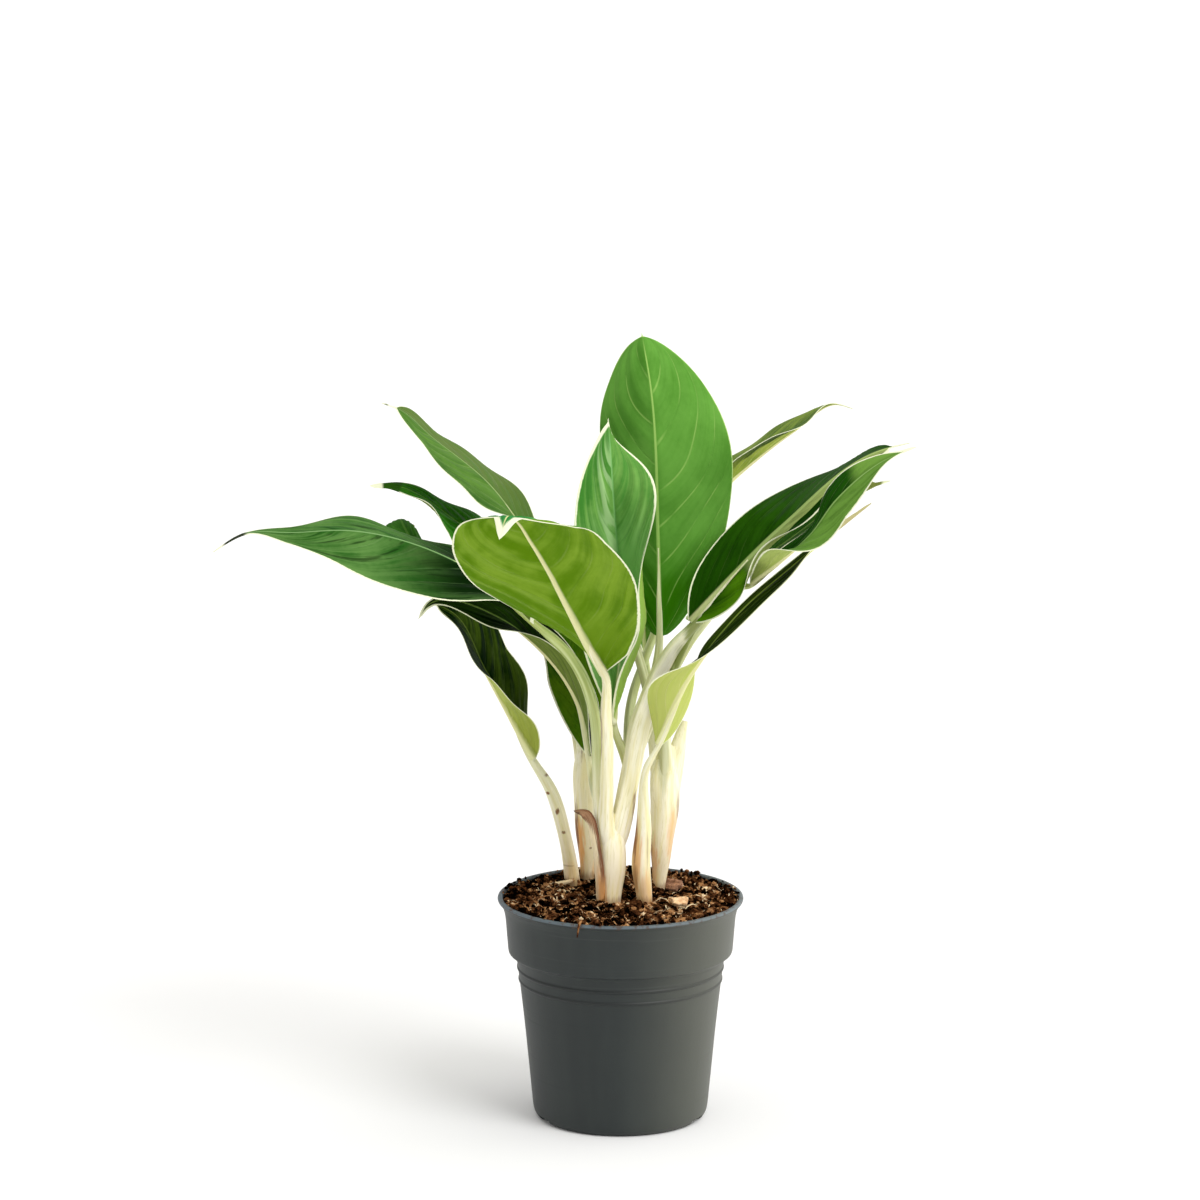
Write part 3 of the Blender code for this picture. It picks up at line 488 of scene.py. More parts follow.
SHOOTS = {
    "shoot_left": [
        ([(-23.5, 29, 92), (-23.5, 29, 109.5), (-26.5, 31, 128), (-31.5, 32, 148), (-37, 31, 161)],
         [3.7, 3.7, 3.2, 3.2, 2.6], ("leaf_cane", 0.6, 0.7))],
    "shoot_back": [
        ([(-16, 40, 92), (-16, 40, 109.5), (-17.5, 42, 142), (-18, 43, 164), (-17.5, 44, 178)],
         [3.5, 3.5, 5.4, 4.9, 2.8], None),
        ([(-16.5, 42, 148), (-14.5, 41, 160)], [3.0, 2.2], ("leaf_back_low", 0.3, 0.6)),
        ([(-17.5, 43, 150), (-18.5, 45, 169), (-21.5, 49, 197), (-30, 52, 224), (-41, 53, 247)],
         [3.6, 3.4, 2.6, 2.2, 2.0], ("leaf_left_mid", 0.35, 0.7)),
        ([(-18.5, 44, 152), (-20, 48, 174), (-26, 53, 198), (-37, 57, 223), (-51, 61, 237)],
         [3.4, 3.0, 2.4, 2.1, 1.8], ("leaf_left_bent", 0.3, 0.7))],
    "shoot_front": [
        ([(-5.5, -7, 92), (-5.5, -7, 109.5), (-4.5, -7, 127), (-4, -7, 140), (-3.5, -6, 153)],
         [5.7, 5.7, 6.8, 6.2, 3.2], None),
        ([(-6.5, -8, 134), (-7, -11, 155), (-6.5, -14, 172), (-6.5, -18, 191), (-7, -21, 211)],
         [4.6, 3.4, 3.1, 2.9, 2.5], ("leaf_front", 0.82, 0.6)),
        ([(-7.5, -6, 134), (-10, -6, 159), (-11, -7, 174), (-11.5, -8, 192), (-13.5, -9, 207),
          (-17.5, -9, 220), (-25.5, -8, 232), (-33, -7, 240)],
         [4.6, 3.4, 3.0, 2.7, 2.7, 2.7, 2.6, 2.4], ("leaf_left_long", 0.3, 0.7)),
        ([(-3.5, -7, 132), (-0.5, -6, 146), (3.5, -6, 164), (6.5, -6, 182), (8.5, -7, 194), (13, -8, 209),
          (20.5, -9, 227), (27, -10, 238)],
         [5.4, 5.2, 4.9, 4.9, 5.2, 4.6, 4.0, 3.2], ("leaf_right_big", 0.5, 0.7)),
        ([(-1.5, -3, 143), (3, 1, 162), (8, 5, 184), (13, 9, 203), (17, 12, 218)],
         [3.2, 3.0, 2.8, 2.6, 2.4], ("leaf_tall", 0.4, 0.7)),
        ([(0, -2, 140), (4, -1, 156), (4, 2, 171), (0.5, 5, 184)],
         [3.2, 2.8, 2.4, 2.1], ("leaf_young", 0.35, 0.7)),
        ([(2, 0, 142), (5, 8, 158), (4.5, 15, 172), (4, 23, 187), (6.5, 33, 205), (13, 38, 222),
          (20.5, 41, 243), (29, 49, 268), (35, 57, 282)],
         [3.2, 2.8, 2.6, 2.4, 2.2, 2.1, 2.0, 1.8, 1.6], ("leaf_right_high", 0.3, 0.6)),
        ([(-8, -2, 140), (-11, 4, 156), (-14, 11, 167)], [3.0, 2.6, 2.1], ("leaf_left_low", 0.35, 0.6)),
        ([(8, -7, 182), (13.5, -4.5, 197), (18.5, -4, 208), (22.5, -4, 217), (27, -3.5, 228),
          (36, -3.5, 246), (46, -5, 258), (55, -9, 264), (60, -17, 267)],
         [3.2, 3.0, 2.7, 2.5, 2.3, 2.1, 1.9, 1.7, 1.5], ("leaf_right_twist", 0.2, 0.5))],
    "shoot_thin": [
        ([(12, -10, 92), (12, -10, 109.5), (10, -10, 127), (11, -11, 143), (11.5, -13, 158), (11, -16, 172),
          (13, -19, 181)],
         [3.5, 3.5, 4.3, 3.8, 2.8, 1.8, 1.6], ("leaf_right_low", 0.42, 0.6))],
    "shoot_right": [
        ([(19, 18, 92), (19, 18, 109.5), (20, 19, 126), (21.5, 20, 147), (21.5, 21, 164), (22.5, 22, 180)],
         [3.0, 3.0, 5.0, 6.9, 7.0, 4.0], None),
        ([(23.5, 22, 150), (26.5, 24, 169), (29, 26, 181), (31.5, 27, 191)], [5.0, 4.4, 3.4, 1.6], None),
        ([(21.5, 19, 153), (21.5, 19, 173), (20.5, 18, 191), (20.5, 17, 207), (27, 15, 223), (35, 15, 237)],
         [4.6, 4.2, 3.6, 3.0, 3.2, 2.8], ("leaf_right_back", 0.3, 0.6)),
        ([(19.5, 22, 152), (17, 22, 175), (14.5, 22, 200), (10.5, 23, 218), (5.5, 26, 232), (-10, 38, 247),
          (-26, 48, 257)],
         [3.6, 3.0, 2.4, 2.2, 2.2, 2.0, 1.8], ("leaf_left_high", 0.35, 0.7)),
        ([(21.5, 26, 156), (19.5, 33, 175), (17, 41, 191), (14, 50, 207)],
         [3.2, 2.6, 2.4, 2.1], ("leaf_back_centre", 0.3, 0.7))],
}
print("leaves:", len(LEAVES), "shoots:", len(SHOOTS))

# %% [markdown]
# ## Leaf blades
# A leaf of this plant is a thin blade folded a little along its midrib, with a short stalk end
# below and a drawn-out tip. It could be sculpted, or cut from a flat outline and bent, but the
# measured model already says where each midrib runs and how each half leans away from it. So
# the blade is worked out from the same few values, only on a much finer grid.

# %% Where a blade's points lie
NUDGE = 0.004
FOLD_STEPS = 24
THIN_TIP = (0.93, 1.3)


def leaf_frame(leaf, t):
    """Midrib point, direction to the tip, way the upper side faces, and way to the right half."""
    inside = np.clip(t, 0, 1)
    before = path(leaf["midrib"], np.clip(inside - NUDGE, 0, 1))
    after = path(leaf["midrib"], np.clip(inside + NUDGE, 0, 1))
    along = unit(after - before)
    length = np.linalg.norm(np.subtract(leaf["midrib"][-1], leaf["midrib"][0]))
    middle = path(leaf["midrib"], inside) + ((t - inside) * length)[:, None] * along
    face = square_to(blend(leaf["face"], inside), along)
    return middle, along, face, np.cross(along, face)


def half_width(leaf, t):
    """One power of t for the base times one of (1 - t) for the end, joined to a thin tip."""
    base, end = leaf["taper"]
    x = np.clip(t / leaf["tail"], 0, 1)
    blade = leaf["half"] * (x * (base + end) / base) ** base * ((1 - x) * (base + end) / end) ** end
    start, size = leaf.get("tip", THIN_TIP)
    tip = size * np.clip((1 - t) / (1 - start), 0, 1) * np.clip(t / 0.1, 0, 1)
    return np.hypot(blade, tip) + EDGE_WIDTH * (1 - fade(t, 0.97, 1.0))


def of_half(pair, t, s):
    """The left or the right of a pair of value lists, by the half that s lies on, read at t."""
    return np.where(s > 0, blend(pair[1], t), blend(pair[0], t))


def leaf_reach(leaf, t, s):
    """Width of the half that s lies on, pinched where the leaf says so."""
    return half_width(leaf, t) * (of_half(leaf["narrow"], t, s) if "narrow" in leaf else 1)


def leaf_points(leaf, t, s):
    """Blade points for t from base (0) to tip (1) and s from left edge (-1) to right edge (1).

    Away from the midrib the blade's angle goes from its fold to its fold plus its curl, so a
    point's way out sideways and its lift towards the face are the mean cosine and sine of the
    angles passed, times the distance along the blade.
    """
    middle, _, face, side = leaf_frame(leaf, t)
    reach = leaf_reach(leaf, t, s) * np.abs(s)
    passed = (np.arange(FOLD_STEPS) + 0.5) / FOLD_STEPS * np.abs(s)[:, None]
    angle = np.radians(of_half(leaf["fold"], t, s)[:, None] + of_half(leaf["curl"], t, s)[:, None] * passed)
    sideways = np.sign(s) * reach * np.cos(angle).mean(1)
    lift = reach * np.sin(angle).mean(1)
    return middle + sideways[:, None] * side + lift[:, None] * face


tall_width = half_width(LEAVES["leaf_tall"], np.linspace(0, 1, 50)).max() * 2
print("the tall leaf is", round(tall_width), "mm wide before it folds")

# %% [markdown]
# ## From a grid to a closed mesh
# Every thin thing here is two grids of points, an upper and a lower side, with a narrow wall
# between their borders. Each point also carries a few numbers, such as how far it is from the
# midrib and from the edge, and the finishes read those numbers to draw veins and margins.

# %% Meshes from grids


def new_mesh(name, points, faces, marks=None, materials=()):
    """Mesh from arrays of points in millimetres and faces, with a number or vector at each point."""
    mesh = bpy.data.meshes.new(name)
    mesh.from_pydata((points * MM).tolist(), [], faces.tolist() if hasattr(faces, "tolist") else faces)
    for mark, values in (marks or {}).items():
        kind, field = ('FLOAT', "value") if values.ndim == 1 else ('FLOAT_VECTOR', "vector")
        layer = mesh.attributes.new(mark, kind, 'POINT')
        layer.data.foreach_set(field, values.astype(np.float32).ravel())
    for material in materials:
        mesh.materials.append(material)
    mesh.shade_smooth()
    return mesh


def grid_quads(rows, columns):
    """Numbers of the corners of each square of a grid, anticlockwise seen from the upper side."""
    index = np.arange(rows * columns).reshape(rows, columns)
    corners = (index[:-1, :-1], index[:-1, 1:], index[1:, 1:], index[1:, :-1])
    return index, np.stack(corners, -1).reshape(-1, 4)


def closed_sheet(name, upper, lower, marks, materials):
    """Closed mesh of an upper grid, a lower grid turned over, and a wall round their border."""
    index, quads = grid_quads(*upper.shape[:2])
    border = np.concatenate((index[0, :-1], index[:-1, -1], index[-1, :0:-1], index[:0:-1, 0]))
    following = np.roll(border, -1)
    below = index.size
    wall = np.stack((following, border, border + below, following + below), -1)
    faces = np.concatenate((quads, wall, quads[:, ::-1] + below))
    points = np.concatenate((upper.reshape(-1, 3), lower.reshape(-1, 3)))
    both = {mark: np.concatenate((values.ravel(), values.ravel())) for mark, values in marks.items()}
    mesh = new_mesh(name, points, faces, both, materials)
    if len(materials) > 1:
        number = np.repeat([0, 1], [len(quads) + len(wall), len(quads)])
        mesh.polygons.foreach_set("material_index", number)
    return mesh


def grid_normals(grid):
    """Unit vectors square to a grid: the slope across it crossed with the slope along it."""
    return unit(np.cross(np.gradient(grid, axis=1), np.gradient(grid, axis=0)))


print("a grid of 4 by 3 points has", len(grid_quads(4, 3)[1]), "squares")

# %% [markdown]
# ## The relief of a leaf
# Side veins leave the midrib at about fifty degrees, bend towards the tip and run out along
# the margin. Counting them with a number that grows along the leaf and shrinks outwards gives
# their curve: the number is whole on each vein. The blade swells a little between them, dips
# along the midrib above, and carries the midrib as a rounded ridge below.

# %% Blade meshes
BLADE_HALF = 0.17
BLADE_EDGE = 0.05
ROWS_PER_MM, FEWEST_ROWS, MOST_ROWS = 0.85, 40, 150
SPREAD = np.concatenate((np.linspace(0, 0.97, 23) ** 1.5, [0.985, 1.0]))
ACROSS = np.concatenate((-SPREAD[:0:-1], SPREAD))


def vein_count(t, s, veins, seed):
    """Whole on a side vein: grows unevenly with t, and falls outwards with |s| and its square."""
    right = np.where(s > 0, 1.0, 0.0)
    uneven = 0.16 * np.sin(2 * np.pi * (1.7 * t + seed + 0.31 * right))
    uneven = uneven + 0.05 * np.sin(2 * np.pi * (4.1 * t + seed))
    return veins * (t - 0.16 * np.abs(s) - 0.26 * s**2) + 0.5 * right + uneven


def blade_mesh(name, leaf, rib_sizes, materials, veins=8, swell=0.35, wave=0.5, seed=0.0):
    """Blade on a fine grid: middle surface, half a thickness each way, relief added along its normals.

    The relief is a cosine of the vein count, so that the blade sinks at each vein and swells
    between two, plus a slow wave along each margin.
    """
    length = travelled(leaf["midrib"])[-1]
    u = np.linspace(0, 1, int(np.clip(length * ROWS_PER_MM, FEWEST_ROWS, MOST_ROWS)))
    line = 0.8 * u + 0.2 * (1 - np.cos(np.pi * u)) / 2
    t, s = np.meshgrid(line, ACROSS, indexing="ij")
    reach = leaf_reach(leaf, t.ravel(), s.ravel()).reshape(t.shape)
    middle = leaf_points(leaf, t.ravel(), s.ravel()).reshape(*t.shape, 3)
    normal = grid_normals(middle)
    rib = reach * np.abs(s)
    edge = np.minimum(reach * (1 - np.abs(s)), (1 - t) * length * 0.6)
    vein = vein_count(t, s, veins, seed)
    relief = -swell * fade(rib, 0.5, 5) * fade(edge, 0.3, 6) * np.cos(2 * np.pi * vein)
    waves = wave * fade(np.abs(s), 0.4, 1) * np.sin(2 * np.pi * (t * 3.3 + seed + 0.23 * np.sign(s)))
    relief = relief + waves * np.minimum(reach / 12, 1)
    half = BLADE_HALF * np.sqrt(np.clip(1 - np.abs(s) ** 10, 0, 1)) + BLADE_EDGE
    ridge = np.interp(t, [0, rib_sizes[1], 0.97], [rib_sizes[0], rib_sizes[2], 0.15])
    groove = (0.12 + 0.3 * ridge) * np.exp(-(rib / (0.35 + 0.55 * ridge)) ** 2)
    keel_depth = 1.25 * np.sqrt(np.clip(ridge**2 - rib**2, 0, None))
    upper = middle + (relief + half - groove)[..., None] * normal
    lower = middle + (relief - half - keel_depth)[..., None] * normal
    marks = {"along": t, "across": s, "rib": rib, "edge": edge, "vein": vein}
    return closed_sheet(name, upper, lower, marks, materials)


print("each blade is", len(ACROSS), "points across and", 2 * (BLADE_HALF + BLADE_EDGE), "mm thick")

# %% [markdown]
# ## The finish of a leaf
# Real leaves carry one waxy skin over cells of different greens. Here one function makes both
# sides: three greens, for the open blade, its streaks and the shaded base, then hair-thin side
# veins that come and go, a pale midrib that narrows to the tip, and the cream margin that marks
# this plant. The veins and streaks follow the numbers that the mesh carries, so they bend with
# the blade. The gloss is kept low, because a white studio would wash a shinier skin out.

# %% Greens, veins and margin
LEAF_MARKS = ("along", "across", "rib", "edge", "vein")
PAINTED_SHEEN = (186, 218, 160)
RIB_FOOT = (226, 228, 172)


def paint_greens(leaf, marks, greens, look, seed):
    """Three greens and the patches of other colours; hands back streaks, cloud and specks.

    A tone between 0 and 1 picks between the first two greens: broad drift, streaks along the
    veins, fine cloud and a sine of the vein count are summed for it. The third green is mixed
    in towards the base as painted shade, and on the young leaf as painted light. A zone is a
    stretch along and across with a colour of its own.
    """
    t, s, rib, edge, vein = marks
    light, deep, base = greens
    on_left, on_right = look["bands"]
    drift = leaf.noise(leaf.point(t * 4, s * 1.4, seed), 1.0, 3)
    streak = leaf.noise(leaf.point(vein * 5, rib * 0.05, seed), 1.0, 3, 0.6)
    cloud = leaf.noise(leaf.place(), 70, 3)
    speck = leaf.noise(leaf.place(), 420, 2)
    band = ((vein * (2 * math.pi)).wave() * 0.5 + 0.5) * drift.ramp(0.3, 0.62)
    band = band * (s.ramp(-0.01, 0.01) * (on_right - on_left) + on_left)
    tone = (drift - 0.48) * 1.3 + (streak - 0.5) * look["streaks"] + (cloud - 0.5) * 0.6
    tone = tone + (speck - 0.5) * 0.3 + band
    leaf.colour = leaf.mix(tone.ramp(-0.4, 0.75), light, deep)
    unsure = (cloud - 0.5) * 0.12
    for colour, along, across, amount in look["zones"]:
        part = (s + unsure).between(*across, 0.03) * (t + unsure).between(*along, 0.04)
        leaf.paint(part * (amount - tone.ramp(-0.1, 0.9) * 0.45), colour)
    shaded = (t + (streak - 0.5) * 0.2 + (drift - 0.5) * 0.15).ramp(*look["shade"])
    leaf.paint(shaded * (edge.ramp(0, 10) * 0.5 + 0.5), base)
    if look["flecks"]:
        fleck = leaf.noise(leaf.point(vein * 3, rib * 0.09, seed + 8), 1.0, 3).ramp(0.56, 0.66)
        leaf.paint(fleck * look["flecks"], base)
    # Painted sheen: a pale patch beside the midrib stands in for highlights on the young leaf's pleats.
    if look["painted_sheen"]:
        patch = leaf.noise(leaf.point(vein * 2.5, rib * 0.12, seed + 3), 1.0, 2).ramp(0.44, 0.56)
        patch = patch * rib.ramp(12, 4) * s.ramp(0.02, -0.02) * t.ramp(0.4, 0.55) * t.ramp(0.97, 0.84)
        leaf.paint(patch * look["painted_sheen"], PAINTED_SHEEN)
    return streak, cloud, speck


def paint_veins(leaf, marks, deep, rib_colour, look, seed):
    """Side veins that come and go, and a midrib that narrows; hands back where the veins run."""
    t, s, rib, edge, vein = marks
    width = look["rib_width"]
    comes = leaf.noise(leaf.point(t * 7, s * 2, seed + 5), 1.0, 2).ramp(0.36, 0.6)
    side_veins = vein.line(0.05) * rib.ramp(0.2, 1.2) * edge.ramp(1, 7)
    leaf.paint(side_veins * comes * look["seen"], rib_colour)
    leaf.paint(rib.ramp(width * 2.4, width * 0.9) * 0.22, deep)
    midrib = (rib / ((1 - t * 0.8) * width)).ramp(1.2, 0.5) * t.ramp(1.0, 0.9)
    leaf.paint(midrib * 0.92, leaf.mix(t.ramp(0.34, 0.04) * 0.7, rib_colour, RIB_FOOT))
    return side_veins


def paint_margin(leaf, marks, look, seed):
    """The ragged cream margin, wider at the tip, and the tip, which may be a dark hook.

    A right margin may be rolled over from a place on, and then shows the pale lower side.
    """
    t, s, _, edge, vein = marks
    margin, cream = look["margin"], look["margin_colour"]
    if look["rolled"]:
        start, full, depth, colour = look["rolled"]
        right = s.ramp(-0.01, 0.01)
        inward = edge - t.ramp(start, full) * depth
        leaf.paint(inward.ramp(0.2, -0.2) * right, colour)
        leaf.paint(inward.absolute().ramp(1.1, 0.6) * right * t.ramp(start, start - 0.1), cream)
    ragged = leaf.noise(leaf.point(vein * 14, t * 60, seed), 1.0, 2)
    inward = (edge - (ragged - 0.5) * margin) / (t.ramp(0.84, 0.98) * 1.1 + 1)
    leaf.paint(inward.ramp(margin * 1.2, margin * 0.75), cream)
    if look["tip"]:
        hook, cream_start, hook_colour = look["tip"]
        leaf.paint(t.ramp(hook, hook + 0.02), hook_colour)
        leaf.paint(t.ramp(cream_start, cream_start + 0.02), cream)


def leaf_finish(name, greens, rib_colour, look, under, seed):
    """Skin of one side of a leaf; the side veins are sunk above and stand out below."""
    leaf = Finish(name, Specular_IOR_Level=0.025, Specular_Tint=(0.75, 0.9, 0.5))
    marks = [leaf.attribute(mark) for mark in LEAF_MARKS]
    streak, cloud, speck = paint_greens(leaf, marks, greens, look, seed)
    side_veins = paint_veins(leaf, marks, greens[1], rib_colour, look, seed)
    paint_margin(leaf, marks, look, seed)
    height = side_veins * (0.5 if under else -0.5) + streak * 0.35 + speck * 0.15
    return leaf.give(Base_Color=leaf.colour, Roughness=(cloud - 0.5) * 0.2 + (0.52 if under else 0.4),
                     Normal=leaf.bump(height + 0.5, 0.00025))


print("a leaf's finish reads", len(LEAF_MARKS), "numbers of its mesh")

# %% [markdown]
# ## What differs from leaf to leaf
# No two leaves of the plant are one green, and their greens carry painted light and shade too:
# old ones low down are nearly black, partly from age and partly as painted shade from the leaves
# above; the tall one is painted pale for the light that shines through it; and a leaf seen from
# below is olive or yellow, the front one painted brighter for the light through it. So each leaf
# has its three greens above and below, as seen on screen, and only those values that differ from
# a plain leaf's. Places along a blade go from 0 at the base to 1 at the tip, places across from
# -1 at the left edge to 1.

# %% Looks of the sixteen leaves
PLAIN_LEAF = dict(
    margin=0.8, margin_colour=(244, 246, 214), rib_width=1.4, seen=0.3, bands=(0.3, 0.3), shade=(0.42, 0.06),
    streaks=1.2, flecks=0.0, painted_sheen=0.0, zones=(), rolled=None, tip=None)
PALE_RIB = (238, 234, 178)
UNDER_RIB_WIDER = 1.4
SHADED_UNDER = ((120, 138, 66), (88, 108, 40), (96, 116, 48))
ALL_ALONG, ALL_ACROSS = (-0.5, 1.5), (-1.5, 1.5)
LEFT_HALF, RIGHT_HALF = (-1.5, 0.0), (0.0, 1.5)
LEAF_LOOKS = {
    "leaf_tall": dict(
        upper=((102, 159, 64), (73, 129, 40), (50, 112, 5)),
        lower=((140, 176, 90), (104, 148, 60), (90, 130, 50)),
        rib=(158, 198, 104), margin=0.45, margin_colour=(178, 206, 128), veins=7, bands=(0.3, 0.15), seen=0.5,
        swell=0.4, shade=(0.38, 0.12), rib_width=1.3, streaks=0.6),
    "leaf_young": dict(
        upper=((122, 171, 84), (66, 130, 48), (142, 194, 110)),
        lower=((150, 190, 90), (128, 172, 66), (150, 184, 80)),
        rib=(130, 184, 110), margin=1.2, bands=(0.5, 0.2), swell=0.6, seen=0.2, shade=(0.74, 0.56),
        upper_only=dict(painted_sheen=0.6, rolled=(0.68, 0.5, 6.0, (158, 198, 92)))),
    "leaf_front": dict(
        upper=((86, 160, 84), (46, 128, 58), (60, 140, 70)),
        lower=((126, 160, 46), (88, 128, 10), (100, 136, 20)),
        rib=(236, 232, 164), margin=1.0, veins=7, rib_width=1.7, bands=(0.5, 0.9), seen=0.04, swell=0.6,
        upper_only=dict(margin=1.8, zones=[((112, 148, 40), (0.82, 1.5), (-1.5, -0.7), 1.4)])),
    "leaf_left_long": dict(
        upper=((92, 134, 66), (36, 88, 24), (4, 30, 1)), lower=SHADED_UNDER,
        rib=(126, 164, 104), rib_width=0.9, seen=0.15, swell=0.45, shade=(0.54, 0.26), streaks=1.6,
        tip=(0.88, 0.95, (34, 46, 18)), upper_only=dict(flecks=0.65)),
    "leaf_left_low": dict(
        upper=((30, 56, 8), (4, 20, 1), (4, 16, 1)), lower=SHADED_UNDER, rib=(110, 134, 66),
        bands=(0.5, 0.5), margin=0.5),
    "leaf_cane": dict(
        upper=((70, 94, 24), (2, 32, 1), (3, 26, 1)), lower=((180, 190, 97), (144, 159, 66), (156, 168, 70)),
        rib=(110, 130, 60), bands=(0.7, 0.7), streaks=1.8, margin=0.6),
    "leaf_back_low": dict(
        upper=((82, 118, 16), (42, 88, 5), (66, 106, 8)), lower=SHADED_UNDER, rib=(110, 140, 60)),
    "leaf_left_mid": dict(
        upper=((54, 128, 8), (18, 86, 1), (40, 114, 4)), lower=SHADED_UNDER, rib=(96, 146, 56), rib_width=1.1,
        tip=(0.8, 0.91, (40, 84, 12))),
    "leaf_left_high": dict(
        upper=((90, 132, 50), (50, 92, 28), (80, 118, 48)), lower=SHADED_UNDER,
        rib=(150, 172, 110), rib_width=0.9, wave=1.0, seen=0.3, tip=(0.96, 0.972, (70, 84, 40)), streaks=1.6,
        upper_only=dict(flecks=0.6, zones=[((92, 116, 54), ALL_ALONG, RIGHT_HALF, 1.0)])),
    "leaf_right_high": dict(
        upper=((130, 150, 70), (66, 98, 32), (118, 140, 60)),
        lower=((162, 176, 72), (112, 136, 44), (150, 166, 64)),
        rib=(150, 168, 90), seen=0.2, lower_only=dict(zones=[((56, 80, 6), ALL_ALONG, (0.58, 1.5), 1.35)])),
    # The big right leaf's third upper zone, dark green on the outer right half, is painted shade.
    "leaf_right_big": dict(
        upper=((38, 84, 6), (13, 50, 1), (24, 66, 2)),
        lower=((160, 176, 100), (124, 146, 68), (140, 160, 80)),
        rib=(164, 186, 112), rib_width=1.7, seen=0.06, bands=(0.15, 0.2),
        upper_only=dict(zones=[
            ((160, 178, 104), (0.27, 1.5), (0.0, 0.5), 1.0), ((108, 166, 18), (-0.5, 0.25), (0.1, 1.5), 1.1),
            ((12, 52, 1), (0.25, 0.75), (0.5, 1.5), 1.0)])),
    "leaf_right_twist": dict(
        upper=((28, 78, 8), (12, 52, 1), (12, 50, 1)),
        lower=((182, 198, 116), (152, 172, 86), (166, 182, 94)),
        rib=(140, 176, 100), rib_width=0.9, seen=0.3,
        upper_only=dict(zones=[
            ((107, 151, 61), ALL_ALONG, RIGHT_HALF, 1.0), ((114, 157, 65), (0.71, 1.5), LEFT_HALF, 0.95)]),
        lower_only=dict(zones=[((30, 56, 7), (-0.5, 0.14), ALL_ACROSS, 1.2)])),
    "leaf_right_low": dict(
        upper=((56, 78, 8), (20, 38, 2), (34, 48, 5)),
        lower=((202, 209, 122), (179, 192, 94), (190, 200, 108)),
        rib=(120, 140, 60), tip=(0.86, 2.0, (184, 176, 126)), bands=(0.6, 0.6)),
    "leaf_left_bent": dict(
        upper=((72, 128, 46), (32, 84, 18), (36, 80, 20)), lower=SHADED_UNDER, rib=(90, 136, 60), seen=0.1),
    "leaf_back_centre": dict(
        upper=((118, 166, 64), (74, 132, 36), (90, 140, 50)),
        lower=((140, 176, 84), (104, 140, 52), (120, 150, 60)),
        rib=(160, 190, 110)),
    "leaf_right_back": dict(
        upper=((64, 112, 30), (26, 74, 8), (30, 70, 10)), lower=SHADED_UNDER, rib=(120, 150, 80),
        tip=(0.84, 0.95, (128, 138, 70))),
}
print("looks:", len(LEAF_LOOKS), "of", len(LEAVES), "leaves")

# %% Leaf pieces
STALK_END = 0.8


def rib_sizes(name):
    """Radius of a leaf's stalk end, how far it runs below the midrib, and its radius there."""
    endings = [(radii[-1] * STALK_END, *ending[1:]) for tubes in SHOOTS.values() for _, radii, ending in tubes
               if ending and ending[0] == name]
    return endings[0]


for number, (name, look) in enumerate(LEAF_LOOKS.items()):
    shape = {key: look[key] for key in ("veins", "swell", "wave") if key in look}
    above = {**PLAIN_LEAF, **look, **look.get("upper_only", {})}
    below = {**PLAIN_LEAF, **look, **look.get("lower_only", {})}
    below["rib_width"] *= UNDER_RIB_WIDER
    upper = leaf_finish(name + "_upper", look["upper"], look["rib"], above, False, number * 3.7)
    lower = leaf_finish(name + "_lower", look["lower"], PALE_RIB, below, True, number * 5.1)
    mesh = blade_mesh(name + "_blade", LEAVES[name], rib_sizes(name), (upper, lower),
                      seed=number * 0.37, **shape)
    blade = new_piece(name + "_blade", mesh, "leaf")
    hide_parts(name)
print("leaf blades:", len(LEAF_LOOKS))

# %% [markdown]
# ## Stalks and canes
# The pale leaf stalks are what makes this plant easy to know. Each is a fleshy rod, flattened
# and grooved on the side that faces the shoot's middle, and swells where it wraps the cane.
# A curve with a round bevel would be too even, so each one is a grid: rings carried along a
# smooth path, with the groove and slow unevenness worked out around and along it.

# %% Tubes from rings
TUBE_SIDES = 28
KEEL_START, KEEL_END = -0.03, 0.3
KEEL_POINTS = 24
NEIGHBOURS = 7


def keel(leaf, t, radius):
    """Centres of the stalk's end below a leaf's midrib, just touching both drooping halves."""
    middle, _, face, _ = leaf_frame(leaf, t)
    inside = np.clip(t, 0, 1)
    droop = np.minimum(blend(leaf["fold"][0], inside), blend(leaf["fold"][1], inside))
    drop = radius * 0.92 / np.cos(np.radians(np.clip(-droop, 0, 60)))
    return middle - drop[:, None] * face


def stalk_path(points, radii, ending, rings):
    """Ring centres and radii: the measured points, then a short run below the leaf's midrib.

    Each centre is twice replaced by the mean of seven neighbours, which rounds the elbows.
    """
    points, radii = np.array(points, float), np.array(radii, float)
    if ending:
        name, reach, last = ending
        first = radii[-1] * STALK_END
        run = min(reach, KEEL_END)
        t = np.linspace(KEEL_START, run, max(4, round(run * KEEL_POINTS)))
        thin = first + (last - first) * (t - KEEL_START) / (reach - KEEL_START)
        thin = thin * (1 - 0.75 * fade(t, run * 0.3, run))
        points = np.concatenate((points, keel(LEAVES[name], t, thin)))
        radii = np.concatenate((radii, thin))
    knots = chord_knots(points)
    u = np.linspace(0, 1, rings)
    centres = smooth_curve(knots, points, u)
    still = NEIGHBOURS // 2
    for _ in range(2):
        nearby = np.stack([centres[shift:rings - NEIGHBOURS + 1 + shift] for shift in range(NEIGHBOURS)])
        centres[still:-still] = nearby.mean(0)
    return centres, smooth_curve(knots, radii[:, None], u)[:, 0]


